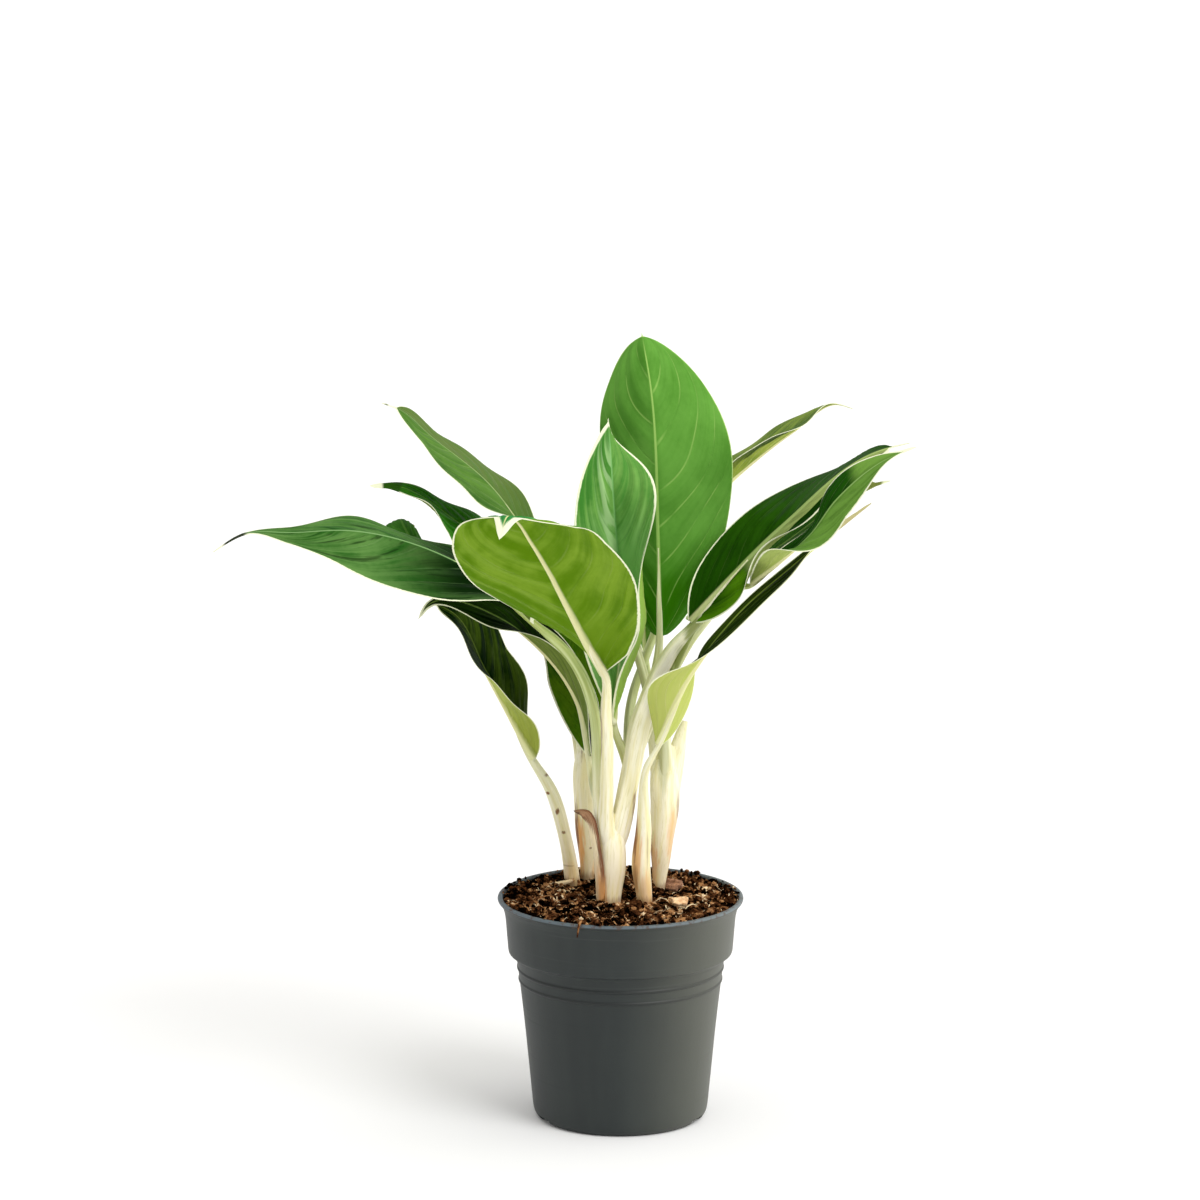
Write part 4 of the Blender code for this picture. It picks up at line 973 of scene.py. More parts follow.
def ring_grid(centres, radii, facing, groove, seed):
    """Points around each centre: radius times a profile with a groove at angle 0 and a rim beside it.

    The ring stands square to the path, with angle 0 towards the facing direction. The groove is
    a bell curve of the angle, and three slow waves around and along make the rod uneven.
    """
    angle = np.linspace(0, 2 * np.pi, TUBE_SIDES, endpoint=False)
    turned = (angle + np.pi) % (2 * np.pi) - np.pi
    along = unit(np.gradient(centres, axis=0))
    first = square_to(facing, along)
    second = np.cross(along, first)
    travel = travelled(centres)[:, None]
    dip = np.exp(-(turned / 0.42) ** 2) - 0.45 * np.exp(-((np.abs(turned) - 0.85) / 0.35) ** 2)
    uneven = (0.022 * np.sin(3 * angle + travel * 0.09 + seed)
              + 0.018 * np.sin(5 * angle - travel * 0.13 + seed * 2)
              + 0.03 * np.sin(angle + travel * 0.21 + seed * 3))
    size = radii[:, None] * (1 - groove[:, None] * dip + uneven)
    ahead, aside = size * np.cos(angle), size * np.sin(angle)
    grid = centres[:, None] + ahead[..., None] * first[:, None] + aside[..., None] * second[:, None]
    return grid, np.stack((ahead, aside, travel + 0 * size + seed * 37), -1)


def capped_tube(grid):
    """Points and faces of a grid closed round its rings, with one point in the middle of each end."""
    rings, sides = grid.shape[:2]
    index = np.arange(rings * sides).reshape(rings, sides)
    beside = np.roll(index, -1, axis=1)
    quads = np.stack((index[:-1], beside[:-1], beside[1:], index[1:]), -1).reshape(-1, 4).tolist()
    start, end = rings * sides, rings * sides + 1
    caps = [(start, b, a) for a, b in zip(index[0].tolist(), beside[0].tolist())]
    caps += [(end, a, b) for a, b in zip(index[-1].tolist(), beside[-1].tolist())]
    return np.concatenate((grid.reshape(-1, 3), [grid[0].mean(0), grid[-1].mean(0)])), quads + caps


def joined(parts):
    """Several pairs of points and faces as one pair."""
    starts = np.cumsum([0] + [len(points) for points, _ in parts]).tolist()
    faces = [tuple(corner + start for corner in face)
             for start, (_, part_faces) in zip(starts, parts) for face in part_faces]
    return np.concatenate([points for points, _ in parts]), faces


print("a tube of ten rings has", len(capped_tube(np.zeros((10, TUBE_SIDES, 3)))[1]), "faces")

# %% [markdown]
# ## The finish of a stalk
# Near the soil a stalk is ivory with peach and rust where old sheaths were, higher up a greener
# ivory. Fine threads run along it, read from numbers that follow each stalk, so that they bend
# with it. The wounds are few and each has its place, so they are a short list: an egg-shaped
# distance from each place, eased to nothing at its rim.

# %% Stains and wounds
RUST, PEACH, SHADE_OLIVE = (122, 70, 27), (230, 163, 84), (122, 134, 58)
WOUNDS = [
    # Middle, half sizes in millimetres, and how deep the brown is
    ((-35.2, 28.0, 163.4), (1.8, 4.0, 1.2), 1.0), ((-36.0, 28.0, 154.2), (1.5, 4.0, 1.1), 1.0),
    ((-31.0, 28.0, 145.0), (1.0, 4.0, 1.8), 0.9), ((-28.0, 27.0, 134.6), (1.2, 4.0, 1.0), 0.8),
    ((-26.8, 26.0, 118.0), (3.5, 3.0, 0.35), 0.35), ((-14.6, 36.0, 124.5), (0.8, 3.0, 0.7), 0.7),
    ((-21.6, 38.0, 130.0), (1.3, 6.0, 17.0), 0.85), ((-19.0, 38.0, 176.0), (0.6, 4.0, 8.0), 0.5),
    ((-10.8, -8.0, 124.0), (1.3, 6.0, 19.0), 0.85), ((6.9, -10.0, 146.0), (1.5, 7.0, 16.0), 0.9),
    ((7.2, -10.0, 121.0), (1.5, 7.0, 8.0), 0.55), ((-9.4, -19.0, 196.0), (0.6, 4.0, 14.0), 0.6),
    ((14.6, 15.0, 124.0), (1.4, 8.0, 15.0), 0.65), ((28.2, 20.0, 146.0), (0.9, 8.0, 12.0), 0.55),
    ((16.5, -12.0, 128.0), (2.0, 6.0, 0.5), 0.4), ((13.0, -14.0, 136.0), (0.5, 6.0, 9.0), 0.35)]
BLUSHES = [
    # The same for the peach stains
    ((-10.0, -10.0, 116.0), (3.6, 8.0, 16.0), 1.0), ((8.0, -10.0, 132.0), (2.8, 8.0, 24.0), 0.7),
    ((15.0, 15.0, 120.0), (4.0, 9.0, 18.0), 0.6), ((26.0, 16.0, 134.0), (3.6, 8.0, 18.0), 0.5),
    ((-20.5, 37.0, 122.0), (3.2, 6.0, 20.0), 0.85), ((-11.0, 37.0, 114.0), (3.0, 6.0, 9.0), 0.7),
    ((-24.0, 26.0, 113.0), (4.0, 6.0, 9.0), 0.25), ((12.0, -13.0, 114.0), (4.5, 6.0, 12.0), 0.45)]
PAINTED_SHADE_SPOTS = [
    # The same for the olive painted shade on the flanks below the leaves
    ((36.0, -8.0, 242.0), (6.5, 14.0, 14.0), 0.9), ((30.0, -5.0, 229.0), (6.0, 12.0, 14.0), 0.9),
    ((24.0, -4.0, 214.0), (5.5, 10.0, 15.0), 0.8), ((-13.0, 8.0, 165.0), (3.0, 9.0, 9.0), 0.5),
    ((8.5, 8.0, 172.0), (2.5, 9.0, 16.0), 0.45), ((21.0, 16.0, 176.0), (3.0, 9.0, 24.0), 0.4)]
print("marks on the stalks:", len(WOUNDS + BLUSHES + PAINTED_SHADE_SPOTS))

# %% Stalk finish


def spots(stalk, table, ragged):
    """The strongest of the marks in a table at each point: a strength times a step of the distance."""
    total = 0.0
    for middle, sizes, strength in table:
        offset = stalk.node('ShaderNodeVectorMath', {"operation": 'SUBTRACT'},
                            {0: stalk.place(), 1: tuple(v * MM for v in middle)})
        scaled = stalk.stretched(offset, tuple(1 / (v * MM) for v in sizes))
        far = stalk.node('ShaderNodeVectorMath', {"operation": 'LENGTH'}, {0: scaled}, "Value")
        total = ((far + ragged).ramp(1.15, 0.55) * strength).at_least(total)
    return total


def stalk_finish(name):
    """Ivory flesh, greener by the tint number, with threads along it, peach stains, wounds, and olive painted
    shade below the leaves.
    """
    stalk = Finish(name, Specular_IOR_Level=0.2)
    lengthwise = stalk.stretched(stalk.attribute("grain", "Vector"), (1.0, 1.0, 0.05))
    threads = stalk.noise(lengthwise, 1.5, 4, 0.6)
    broad = stalk.noise(lengthwise, 0.42, 2)
    cloud = stalk.noise(stalk.place(), 60, 3)
    height = stalk.place("Z")
    stalk.colour = stalk.mix(broad.ramp(0.35, 0.7), (254, 249, 226), (244, 235, 186))
    green = stalk.mix(broad.ramp(0.3, 0.7), (212, 222, 160), (154, 172, 88))
    stalk.paint(stalk.attribute("tint") + (cloud - 0.5) * 0.2, green)
    stalk.paint(threads.ramp(0.52, 0.7) * 0.42, (200, 192, 112))
    stalk.paint((height + (broad - 0.5) * 0.03).ramp(0.150, 0.108) * 0.35, (236, 200, 140))
    # Painted shade: olive on the stalks' flanks below the leaves.
    stalk.paint(spots(stalk, PAINTED_SHADE_SPOTS, (threads - 0.5) * 0.8), SHADE_OLIVE)
    stalk.paint(spots(stalk, BLUSHES, (threads - 0.5) * 1.4), PEACH)
    wound = spots(stalk, WOUNDS, (threads - 0.5) * 1.6 + (cloud - 0.5) * 1.2)
    stalk.paint(wound, RUST)
    stalk.paint((height + (threads - 0.5) * 0.008).ramp(0.1135, 0.1095) * 0.6, (138, 92, 52))
    return stalk.give(Base_Color=stalk.colour, Roughness=threads * 0.2 + 0.36,
                      Normal=stalk.bump(threads * 0.6 + cloud * 0.4 - wound * 0.3, 0.00028))


stalk_skin = stalk_finish("stalk_skin")
print("nodes in the stalk's finish:", len(stalk_skin.node_tree.nodes))

# %% Stalk pieces
GREENNESS = {
    "leaf_left_long": 1.0, "leaf_right_big": 0.12, "leaf_right_high": 0.9, "leaf_young": 0.8,
    "leaf_tall": 0.6, "leaf_left_high": 0.6, "leaf_back_centre": 0.8, "leaf_front": 0.12,
    "leaf_right_low": 0.3, "leaf_right_back": 0.7, "leaf_right_twist": 1.0, "leaf_cane": 0.7,
    "leaf_left_mid": 0.7}
CANE_GREENNESS, OTHER_GREENNESS = 0.15, 0.5
CANE_FACING = (0.3, 1, 0)
BRANCHES_ABOVE = 115
RINGS_PER_MM, SPARE_RINGS = 0.7, 14


def stalk_tube(points, radii, ending, seed):
    """One stalk or cane: its points and faces, and the grain and tint at each point.

    A stalk that branches off above the soil starts a fifth thinner, and paler.
    """
    rings = int(travelled(points)[-1] * RINGS_PER_MM) + SPARE_RINGS
    centres, sizes = stalk_path(points, radii, ending, rings)
    u = np.linspace(0, 1, rings)
    groove = (0.16 + 0.12 * (1 - u)) * fade(u, 0.0, 0.12) * (1 if ending else 0)
    facing = np.array(LEAVES[ending[0]]["face"][0] if ending else CANE_FACING, float)
    branches = points[0][2] > BRANCHES_ABOVE
    sizes = sizes * (1 - 0.2 * branches * fade(-u, -0.08, 0.0))
    grid, grain = ring_grid(centres, sizes, facing, groove, seed)
    green = GREENNESS.get(ending[0], OTHER_GREENNESS) if ending else CANE_GREENNESS
    tint = green * fade(centres[:, 2], 120, 215) * (1 - 0.8 * branches * fade(-u, -0.3, 0.0))
    marks = [grain.reshape(-1, 3), np.repeat(tint, TUBE_SIDES)]
    return capped_tube(grid), *(np.concatenate((mark, mark[:1], mark[-1:])) for mark in marks)


for number, (name, tubes) in enumerate(SHOOTS.items()):
    parts = [stalk_tube(*tube, number * 1.3 + k * 0.7) for k, tube in enumerate(tubes)]
    points, faces = joined([part[0] for part in parts])
    marks = {mark: np.concatenate([part[k] for part in parts]) for k, mark in ((1, "grain"), (2, "tint"))}
    mesh = new_mesh(name + "_stalks", points, faces, marks, [stalk_skin])
    stalks = new_piece(name + "_stalks", mesh, "stalk")
    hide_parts(name)
    print(name, "tubes:", len(tubes))

# %% [markdown]
# ## The nursery pot
# The pot is thin moulded plastic: a rolled rim, a deep collar, a step, two fine ridges and
# a wall that tapers to a foot with three small gaps for water. It is a turned shape, so its
# outline is written once, its corners are rounded, and the outline is carried round the axis.

# %% Turned shapes


def rounded(outline):
    """Outline of (radius, height, rounding) with each corner replaced by a short quadratic arc."""
    corners = np.array([point[:2] for point in outline], float)
    sizes = np.array([point[2] for point in outline], float)
    out = [corners[0]]
    u = np.linspace(0, 1, 5)[:, None]
    for before, corner, after, size in zip(corners[:-2], corners[1:-1], corners[2:], sizes[1:-1]):
        start = corner + unit(before - corner) * min(size, np.linalg.norm(before - corner) * 0.45)
        end = corner + unit(after - corner) * min(size, np.linalg.norm(after - corner) * 0.45)
        out += list((1 - u) ** 2 * start + 2 * u * (1 - u) * corner + u**2 * end)
    return np.array(out + [corners[-1]])


def turned_grid(outline, angles):
    """Outline carried round the axis: radius times cosine and sine of each angle, height kept."""
    radius, height = outline[:, 0], outline[:, 1]
    return np.stack((radius[:, None] * np.cos(angles), radius[:, None] * np.sin(angles),
                     height[:, None] + 0 * angles), -1)


def turned_mesh(name, grid, materials, marks=None):
    """Closed mesh of a turned grid whose first and last rows lie on the axis."""
    points, faces = capped_tube(grid[1:-1])
    points[-2:] = grid[0, 0], grid[-1, 0]
    marks = {mark: np.concatenate((values[1:-1].ravel(), [values[0, 0], values[-1, 0]]))
             for mark, values in (marks or {}).items()}
    return new_mesh(name, points, faces, marks, materials)


print("one rounded corner has", len(rounded([(0, 0, 0), (1, 0, 0.2), (1, 1, 0)])) - 2, "points")

# %% Outline of the pot
TURN_STEPS = 144
NOTCHES = (-154, -26, 90)
NOTCH_WIDTH, NOTCH_HEIGHT = 11.5, 2.6
NOTCH_RADIUS, NOTCH_INSIDE = 41, 35.2
HALF_NOTCH = math.degrees(NOTCH_WIDTH / 2 / NOTCH_RADIUS)
NOTCH_CORNER = 0.08
OUTSIDE = [
    (58.7, 110, .3), (59.75, 109.7, .3), (60, 108.9, .3), (59.7, 108.1, .3), (58.8, 107.5, .4),
    (57.2, 104.6, 1.5), (56.2, 100.5, 3), (54.85, 83.6, .5), (54.6, 82.6, .3), (52.3, 81.7, .3),
    (51.4, 80.7, .4), (50.6, 77.5, .8),
    (50.17, 75.5, .3), (50.65, 74.9, .25), (50.65, 74.3, .25), (50.0, 73.7, .3),
    (49.55, 69.6, .3), (49.95, 69.0, .25), (49.95, 68.4, .25), (49.3, 67.8, .3),
    (46.8, 46, 30), (44.9, 26, 30), (42.9, 5, 2), (42.2, 2.2, 1), (41.0, 0.7, .5)]
UNDERSIDE = [(39.4, 0, .2), (36.5, 0, .3), (35.9, 2.2, .3), (13.5, 2.2, .3), (12.5, 0, .3), (0, 0, 0)]
INSIDE = [
    (0, 4.2, 0), (40, 4.2, .5), (41.3, 5.4, .8), (45.3, 46, 30), (49.1, 77, 1), (52.8, 82.5, 1.5),
    (54.6, 101, 3), (57.2, 108, .8), (57.6, 109.6, .3), (58.2, 110, .3)]

outline = rounded(INSIDE + OUTSIDE + UNDERSIDE)
notch_edges = [direction + side * HALF_NOTCH + step
               for direction in NOTCHES for side in (-1, 1) for step in (-NOTCH_CORNER, NOTCH_CORNER)]
even_steps = np.linspace(-180, 180, TURN_STEPS, endpoint=False)
angles = np.unique(np.round(np.concatenate((even_steps, notch_edges)), 3))
off_notch = [np.abs((angles - direction + 180) % 360 - 180) for direction in NOTCHES]
near_notch = np.min(off_notch, axis=0) < HALF_NOTCH
grid = turned_grid(outline, np.radians(angles))
foot = (grid[..., 2] < NOTCH_HEIGHT) & (outline[:, 0] > NOTCH_INSIDE)[:, None] & near_notch
grid[..., 2] = np.where(foot, NOTCH_HEIGHT, grid[..., 2])
print("pot outline:", len(outline), "points,", len(angles), "steps")

# %% [markdown]
# ## Moulded plastic
# Recycled pot plastic is a soft blackish grey, matte, with a faint cloudiness from the mould,
# fine grain, and thin scuffs that run round where pots were stacked inside each other. Painted
# light makes it paler to the right, a painted highlight runs along the lip, painted shade darkens
# the two ridges, and a little soil clings to the rim.

# %% Pot finish
RIDGES = (74.6, 68.7)
LIP = 109.4

plastic = Finish("pot_plastic", Specular_IOR_Level=0.4)
spot = plastic.place()
cloud = plastic.noise(spot, 18, 3)
fine = plastic.noise(spot, 900, 2)
clinging = plastic.noise(spot, 330, 4, 0.65)
scuffs = plastic.noise(plastic.stretched(spot, (12.0, 12.0, 700.0)), 1.0, 3).ramp(0.6, 0.8)
upright = plastic.noise(plastic.stretched(spot, (90.0, 90.0, 5.0)), 1.0, 3)
height = plastic.place("Z") * (1 / MM)
sideways = plastic.place("X") * (1 / MM)
plastic.colour = plastic.mix((cloud * 0.6 + upright * 0.4).ramp(0.35, 0.65), (28, 35, 35), (36, 43, 42))
# Painted light: the plastic grows paler towards the right, where the wall of light stands.
plastic.paint((sideways + (cloud - 0.5) * 8).ramp(-5, 62) * 0.5, (118, 119, 106))
plastic.paint(scuffs * height.ramp(60, 80) * 0.1, (116, 120, 116))
# Painted shade: dark lines along the two ridges.
upper_ridge_shade, lower_ridge_shade = ((height - ridge).absolute().ramp(1.3, 0.7) for ridge in RIDGES)
plastic.paint(upper_ridge_shade.at_least(lower_ridge_shade) * 0.4, (24, 26, 26))
# Painted highlight: a pale blue-grey line along the lip.
plastic.paint((height - LIP).absolute().ramp(0.9, 0.4) * 0.38, (132, 148, 160))
dust = (height + (clinging - 0.5) * 9).ramp(107.8, 110.8) * clinging.ramp(0.5, 0.64)
plastic.paint(dust * 0.7, (74, 50, 34))
plastic.give(Base_Color=plastic.colour, Roughness=cloud * 0.14 + scuffs * 0.06 + 0.42,
             Normal=plastic.bump(fine * 0.4 + cloud * 0.3 + upright * 0.3, 0.00008))
print("nodes in the pot's finish:", len(plastic.nodes))

# %% Pot piece with its drain holes
HOLES = 6
HOLE_RING, HOLE_RADIUS = 25, 4
SHARP_FROM = 35

pot = new_piece("nursery_pot", turned_mesh("nursery_pot", grid, [plastic.material]), "pot_plastic")
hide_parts("pot")

rod = turned_grid(np.array([(HOLE_RADIUS, -1.0), (HOLE_RADIUS, 6.5)]), np.linspace(0, 2 * np.pi, 25)[:-1])
bearings = np.arange(HOLES) * 2 * np.pi / HOLES
rods = [capped_tube(rod + [HOLE_RING * np.cos(a), HOLE_RING * np.sin(a), 0]) for a in bearings]
holes = new_piece("holes", new_mesh("holes", *joined(rods)))
boring = pot.modifiers.new("drain holes", 'BOOLEAN')
boring.object, boring.operation, boring.solver = holes, 'DIFFERENCE', 'EXACT'
bored = bpy.data.meshes.new_from_object(pot.evaluated_get(bpy.context.evaluated_depsgraph_get()))
pot.modifiers.clear()
pot.data = bored
bpy.data.objects.remove(holes)
pot.data.shade_smooth()
pot.data.set_sharp_from_angle(angle=math.radians(SHARP_FROM))
print("pot faces:", len(pot.data.polygons))

# %% [markdown]
# ## Potting soil
# Peat-based soil is dark brown crumbs of every size with rusty fibres and paler bits of bark.
# A flat disc with a bump map would give it away at the rim, so the surface itself is lumpy:
# the measured level, cloudy unevenness, and a thousand crumbs pressed into it, some as big as
# a pea. Each point notes how deep it lies, and the finish paints the gaps nearly black as painted shade.

# %% Uneven ground
SOIL_LEVEL = 108.2
SOIL_EDGE = 56.6
NET = 64


def soil_height(x, y):
    """Height of the measured soil: nearly level, with soft lumps, and heaped along the back."""
    far = np.hypot(x, y)
    outward = np.clip(far / 55.0, 0, 1)
    lumps = np.sin(x / 6.1 + y / 9.7) + np.sin(y / 5.3 - x / 11.0) * 0.8
    heap = fade(y, 5, 35) * fade(far, 34, 46) * (1 - fade(far, 50, SOIL_EDGE))
    heap = heap * (1.3 + 0.5 * np.sin(x / 4.7 + 1))
    return SOIL_LEVEL + 0.2 * outward**2 + 0.25 * lumps * (1 - outward**4) + heap


def cloudy(x, y, size, seed):
    """Value noise: random heights at the crossings of a net of the given size, eased between."""
    heights = np.random.default_rng(seed).uniform(-1, 1, (NET, NET))
    u, v = x / size + NET / 2, y / size + NET / 2
    i, j = np.floor(u).astype(int), np.floor(v).astype(int)
    a, b = u - i, v - j
    a, b = a * a * (3 - 2 * a), b * b * (3 - 2 * b)
    i, j = i % (NET - 1), j % (NET - 1)
    return ((heights[i, j] * (1 - a) + heights[i + 1, j] * a) * (1 - b)
            + (heights[i, j + 1] * (1 - a) + heights[i + 1, j + 1] * a) * b)


print("the soil's middle lies", round(float(soil_height(0, 0)), 1), "mm up")

# %% Crumbs pressed into it
PRESSED_CRUMBS = 1000
PRESSED_REACH = 55.5
CHIPS = np.array([(29.0, -12.0), (26.0, 19.0)])
dice = np.random.default_rng(11)


def in_disc(count, reach):
    """Places in a disc, even by area: the way out goes by the square root of a chance."""
    out = reach * np.sqrt(dice.uniform(0, 1, count))
    turn = dice.uniform(0, 2 * np.pi, count)
    return out * np.cos(turn), out * np.sin(turn)


def sizes_between(smallest, largest, count):
    """Sizes by chance: e to an even draw between the two logarithms, so that small ones prevail."""
    return np.exp(dice.uniform(np.log(smallest), np.log(largest), count))


crumb_x, crumb_y = in_disc(PRESSED_CRUMBS, PRESSED_REACH)
crumb_size = sizes_between(0.8, 4.4, PRESSED_CRUMBS)
crumb_shade = dice.uniform(0, 1, PRESSED_CRUMBS) ** 1.8


def chip_distance(x, y):
    """How far a place is from the nearer chip; the front counts for half, so that a chip shows."""
    across = x[:, None] - CHIPS[:, 0]
    behind = y[:, None] - CHIPS[:, 1]
    return np.hypot(across, np.where(behind < 0, behind / 2, behind)).min(1)


def crumbled(x, y):
    """Ground height with crumbs pressed in, and a shade: low in the gaps as painted shade, the crumb's own
    tone on crumbs.

    Three sizes of cloudy unevenness are summed with the highest dome at each place. All of it is
    calmed near the rim, and pressed flat round the chips.
    """
    uneven = 1.2 * cloudy(x, y, 7.0, 1) + 0.7 * cloudy(x, y, 2.6, 2) + 0.35 * cloudy(x, y, 1.1, 3)
    away = np.hypot(x[:, None] - crumb_x, y[:, None] - crumb_y) / crumb_size
    dome = np.sqrt(np.clip(1 - away**2, 0, None)) * crumb_size * 0.62 - 0.15
    top = dome.argmax(1)
    lift = np.clip(dome[np.arange(len(x)), top], 0, None)
    raised = uneven * 0.9 + lift * 1.15 - 0.85
    free = fade(chip_distance(x, y), 2.5, 6.0)
    raised = raised * free - 0.6 * (1 - free)
    calm = 1 - 0.75 * fade(np.hypot(x, y), 53, SOIL_EDGE)
    # Painted shade: the shade falls towards 0 in the gaps between crumbs.
    shade = fade(raised, -1.0, 0.7) * (0.25 + 0.75 * crumb_shade[top])
    return soil_height(x, y) + raised * calm, shade


print("pressed crumbs from", round(crumb_size.min(), 1), "to", round(crumb_size.max(), 1), "mm")

# %% Soil grid
GROUND_RINGS, GROUND_STEPS = 160, 320
SOIL_SIDE = np.array([
    (56.2, 106), (54.3, 101), (52.4, 82.5), (48.7, 77), (44.9, 46), (40.9, 5.7), (39.6, 4.5), (0, 4.5)])

radii = SOIL_EDGE * np.linspace(0, 1, GROUND_RINGS)[1:] ** 0.85
turn = np.linspace(0, 2 * np.pi, GROUND_STEPS + 1)[:-1]
ground = turned_grid(np.stack((radii, 0 * radii), -1), turn)
heights, shades = (values.reshape(ground.shape[:2])
                   for values in crumbled(ground[..., 0].ravel(), ground[..., 1].ravel()))
ground[..., 2] = heights
soil_grid = np.concatenate((ground[:1] * [0, 0, 1], ground, turned_grid(SOIL_SIDE, turn)))
soil_shade = np.concatenate((shades[:1], shades, np.full((len(SOIL_SIDE), len(turn)), 0.3)))
print("soil points:", soil_grid.shape[0] * soil_grid.shape[1])

# %% Soil finish and piece


def soil_finish(name, lighter=0.0, size=1.0):
    """Peat by four browns: gaps painted nearly black as shade, crumbs brown, some tan, and a few flecks of
    straw.

    The value that picks the brown is the shade from the mesh plus three sizes of noise.
    """
    soil = Finish(name, Roughness=0.95, Specular_IOR_Level=0.0)
    drift = soil.noise(soil.place(), 60, 2)
    patch = soil.noise(soil.place(), 240 * size, 5, 0.65)
    fleck = soil.noise(soil.place(), 900 * size, 3, 0.7)
    pick = soil.attribute("shade") * 1.1 + (drift - 0.5) * 1.1 + (patch - 0.5) * 2.0
    pick = pick + (fleck - 0.5) * 1.0 + lighter - 0.03
    soil.colour = soil.mix(pick.ramp(0.1, 0.55), (4, 2, 1), (84, 50, 28))
    soil.paint(pick.ramp(0.5, 0.88), (176, 128, 84))
    soil.paint(pick.ramp(0.92, 1.2), (246, 222, 182))
    return soil.give(Base_Color=soil.colour, Normal=soil.bump(fleck * 0.5 + patch * 0.5, 0.0009))


peat = soil_finish("peat")
soil_mesh = turned_mesh("soil_mound", soil_grid[::-1], [peat], {"shade": soil_shade[::-1]})
soil = new_piece("soil_mound", soil_mesh, "potting_soil")
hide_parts("soil")
print("soil faces:", len(soil_mesh.polygons))

# %% [markdown]
# ## Loose crumbs and fibres
# Some crumbs lie free on top, and coconut fibres and straws cross them. Each crumb is a small
# twelve-pointed solid with its points pushed in and out by chance, and each fibre a strip of
# five bends with three sides: few faces each, because there are thousands of them.

# %% Places clear of the canes
CANES = np.array([tubes[0][0][0][:2] for tubes in SHOOTS.values()])
CANE_CLEARANCE = 5.5


def scattered(count, reach):
    """Places in a disc that keep clear of the canes; twice as many are tried as are asked for."""
    x, y = in_disc(count * 2, reach)
    clear = np.hypot(x[:, None] - CANES[:, 0], y[:, None] - CANES[:, 1]).min(1) > CANE_CLEARANCE
    return x[clear][:count], y[clear][:count]


print("canes to keep clear of:", len(CANES))

# %% Crumbs
LOOSE_CRUMBS = 3600
LOOSE_REACH = 57.6
SMALLEST_KEPT = 0.25
POT_TOP = 110
GOLD = (1 + 5**0.5) / 2
BALL = unit(np.array([
    (-1, GOLD, 0), (1, GOLD, 0), (-1, -GOLD, 0), (1, -GOLD, 0), (0, -1, GOLD), (0, 1, GOLD),
    (0, -1, -GOLD), (0, 1, -GOLD), (GOLD, 0, -1), (GOLD, 0, 1), (-GOLD, 0, -1), (-GOLD, 0, 1)]))
BALL_FACES = np.array([
    (0, 11, 5), (0, 5, 1), (0, 1, 7), (0, 7, 10), (0, 10, 11), (1, 5, 9), (5, 11, 4), (11, 10, 2), (10, 7, 6),
    (7, 1, 8), (3, 9, 4), (3, 4, 2), (3, 2, 6), (3, 6, 8), (3, 8, 9), (4, 9, 5), (2, 4, 11), (6, 2, 10),
    (8, 6, 7), (9, 8, 1)])


def crumb_points(x, y, size):
    """Each crumb's points: the ball stretched and dented by chance, turned, and set on the ground.

    Past the soil's edge the ground rises to the top of the pot, where a few crumbs lie.
    """
    stretch = dice.uniform(0.55, 1.25, (len(x), 1, 3)) * [1, 1, 0.8]
    points = BALL * stretch * dice.uniform(0.7, 1.2, (len(x), len(BALL), 1)) * size[:, None, None]
    spin = dice.uniform(0, 2 * np.pi, len(x))
    cosine, sine = np.cos(spin)[:, None], np.sin(spin)[:, None]
    turned = (points[..., 0] * cosine - points[..., 1] * sine,
              points[..., 0] * sine + points[..., 1] * cosine)
    ground, _ = crumbled(x, y)
    on_rim = fade(np.hypot(x, y), SOIL_EDGE, 57.3)
    ground = ground * (1 - on_rim) + POT_TOP * on_rim
    return np.stack((*turned, points[..., 2]), -1) + np.stack((x, y, ground + size * 0.3), -1)[:, None]


x, y = scattered(LOOSE_CRUMBS, LOOSE_REACH)
size = sizes_between(0.3, 1.7, len(x))
size[::18] = dice.uniform(1.8, 3.0, len(x[::18]))
size *= fade(chip_distance(x, y), 3.5, 6.5)
kept = size > SMALLEST_KEPT
x, y, size = x[kept], y[kept], size[kept]
points = crumb_points(x, y, size).reshape(-1, 3)
faces = (BALL_FACES + len(BALL) * np.arange(len(x))[:, None, None]).reshape(-1, 3)
shade = np.repeat(dice.uniform(0, 1, len(x)) ** 2.2 * (1 - 0.18 * size), len(BALL))
crumb_peat = soil_finish("crumb_peat", 0.08)
crumb_mesh = new_mesh("soil_crumbs", points, faces, {"shade": shade}, [crumb_peat])
crumb_mesh.set_sharp_from_angle(angle=math.radians(50))
new_piece("soil_crumbs", crumb_mesh, "potting_soil")
print("crumbs:", len(x))

# %% Fibres
FIBRES = 420
FIBRE_REACH, FIBRE_END = 53, 54.6
FIBRE_RINGS = 7
SIDES = 3


def strands(starts, headings, lengths, widths, bends, lift):
    """Thin three-sided strips: places along a heading that turns evenly, laid on the ground.

    The middle of strip k at step u lies at its start plus the sum of its steps, each step
    turned by the bend; the height is the ground's plus an arch of u times (1 - u).
    """
    u = np.linspace(0, 1, FIBRE_RINGS)
    turn = headings[:, None] + bends[:, None] * u
    step = (lengths / (FIBRE_RINGS - 1))[:, None]
    px = starts[0][:, None] + np.cumsum(np.cos(turn) * step, 1)
    py = starts[1][:, None] + np.cumsum(np.sin(turn) * step, 1)
    inside = np.minimum(1, FIBRE_END / np.hypot(px, py))
    px, py = px * inside, py * inside
    ground, _ = crumbled(px.ravel(), py.ravel())
    pz = ground.reshape(px.shape) + 0.25 + lift[:, None] * 4 * u * (1 - u)
    middle = np.stack((px, py, pz), -1)
    across = np.stack((-np.sin(turn), np.cos(turn), 0 * turn), -1)
    thin = (widths[:, None] * (0.35 + 0.65 * np.sin(np.pi * np.clip(u * 0.9 + 0.05, 0, 1))))[..., None]
    up = np.array([0, 0, 1.0])
    return np.stack((middle + across * thin, middle - across * thin, middle + up * thin * 0.7), 2)


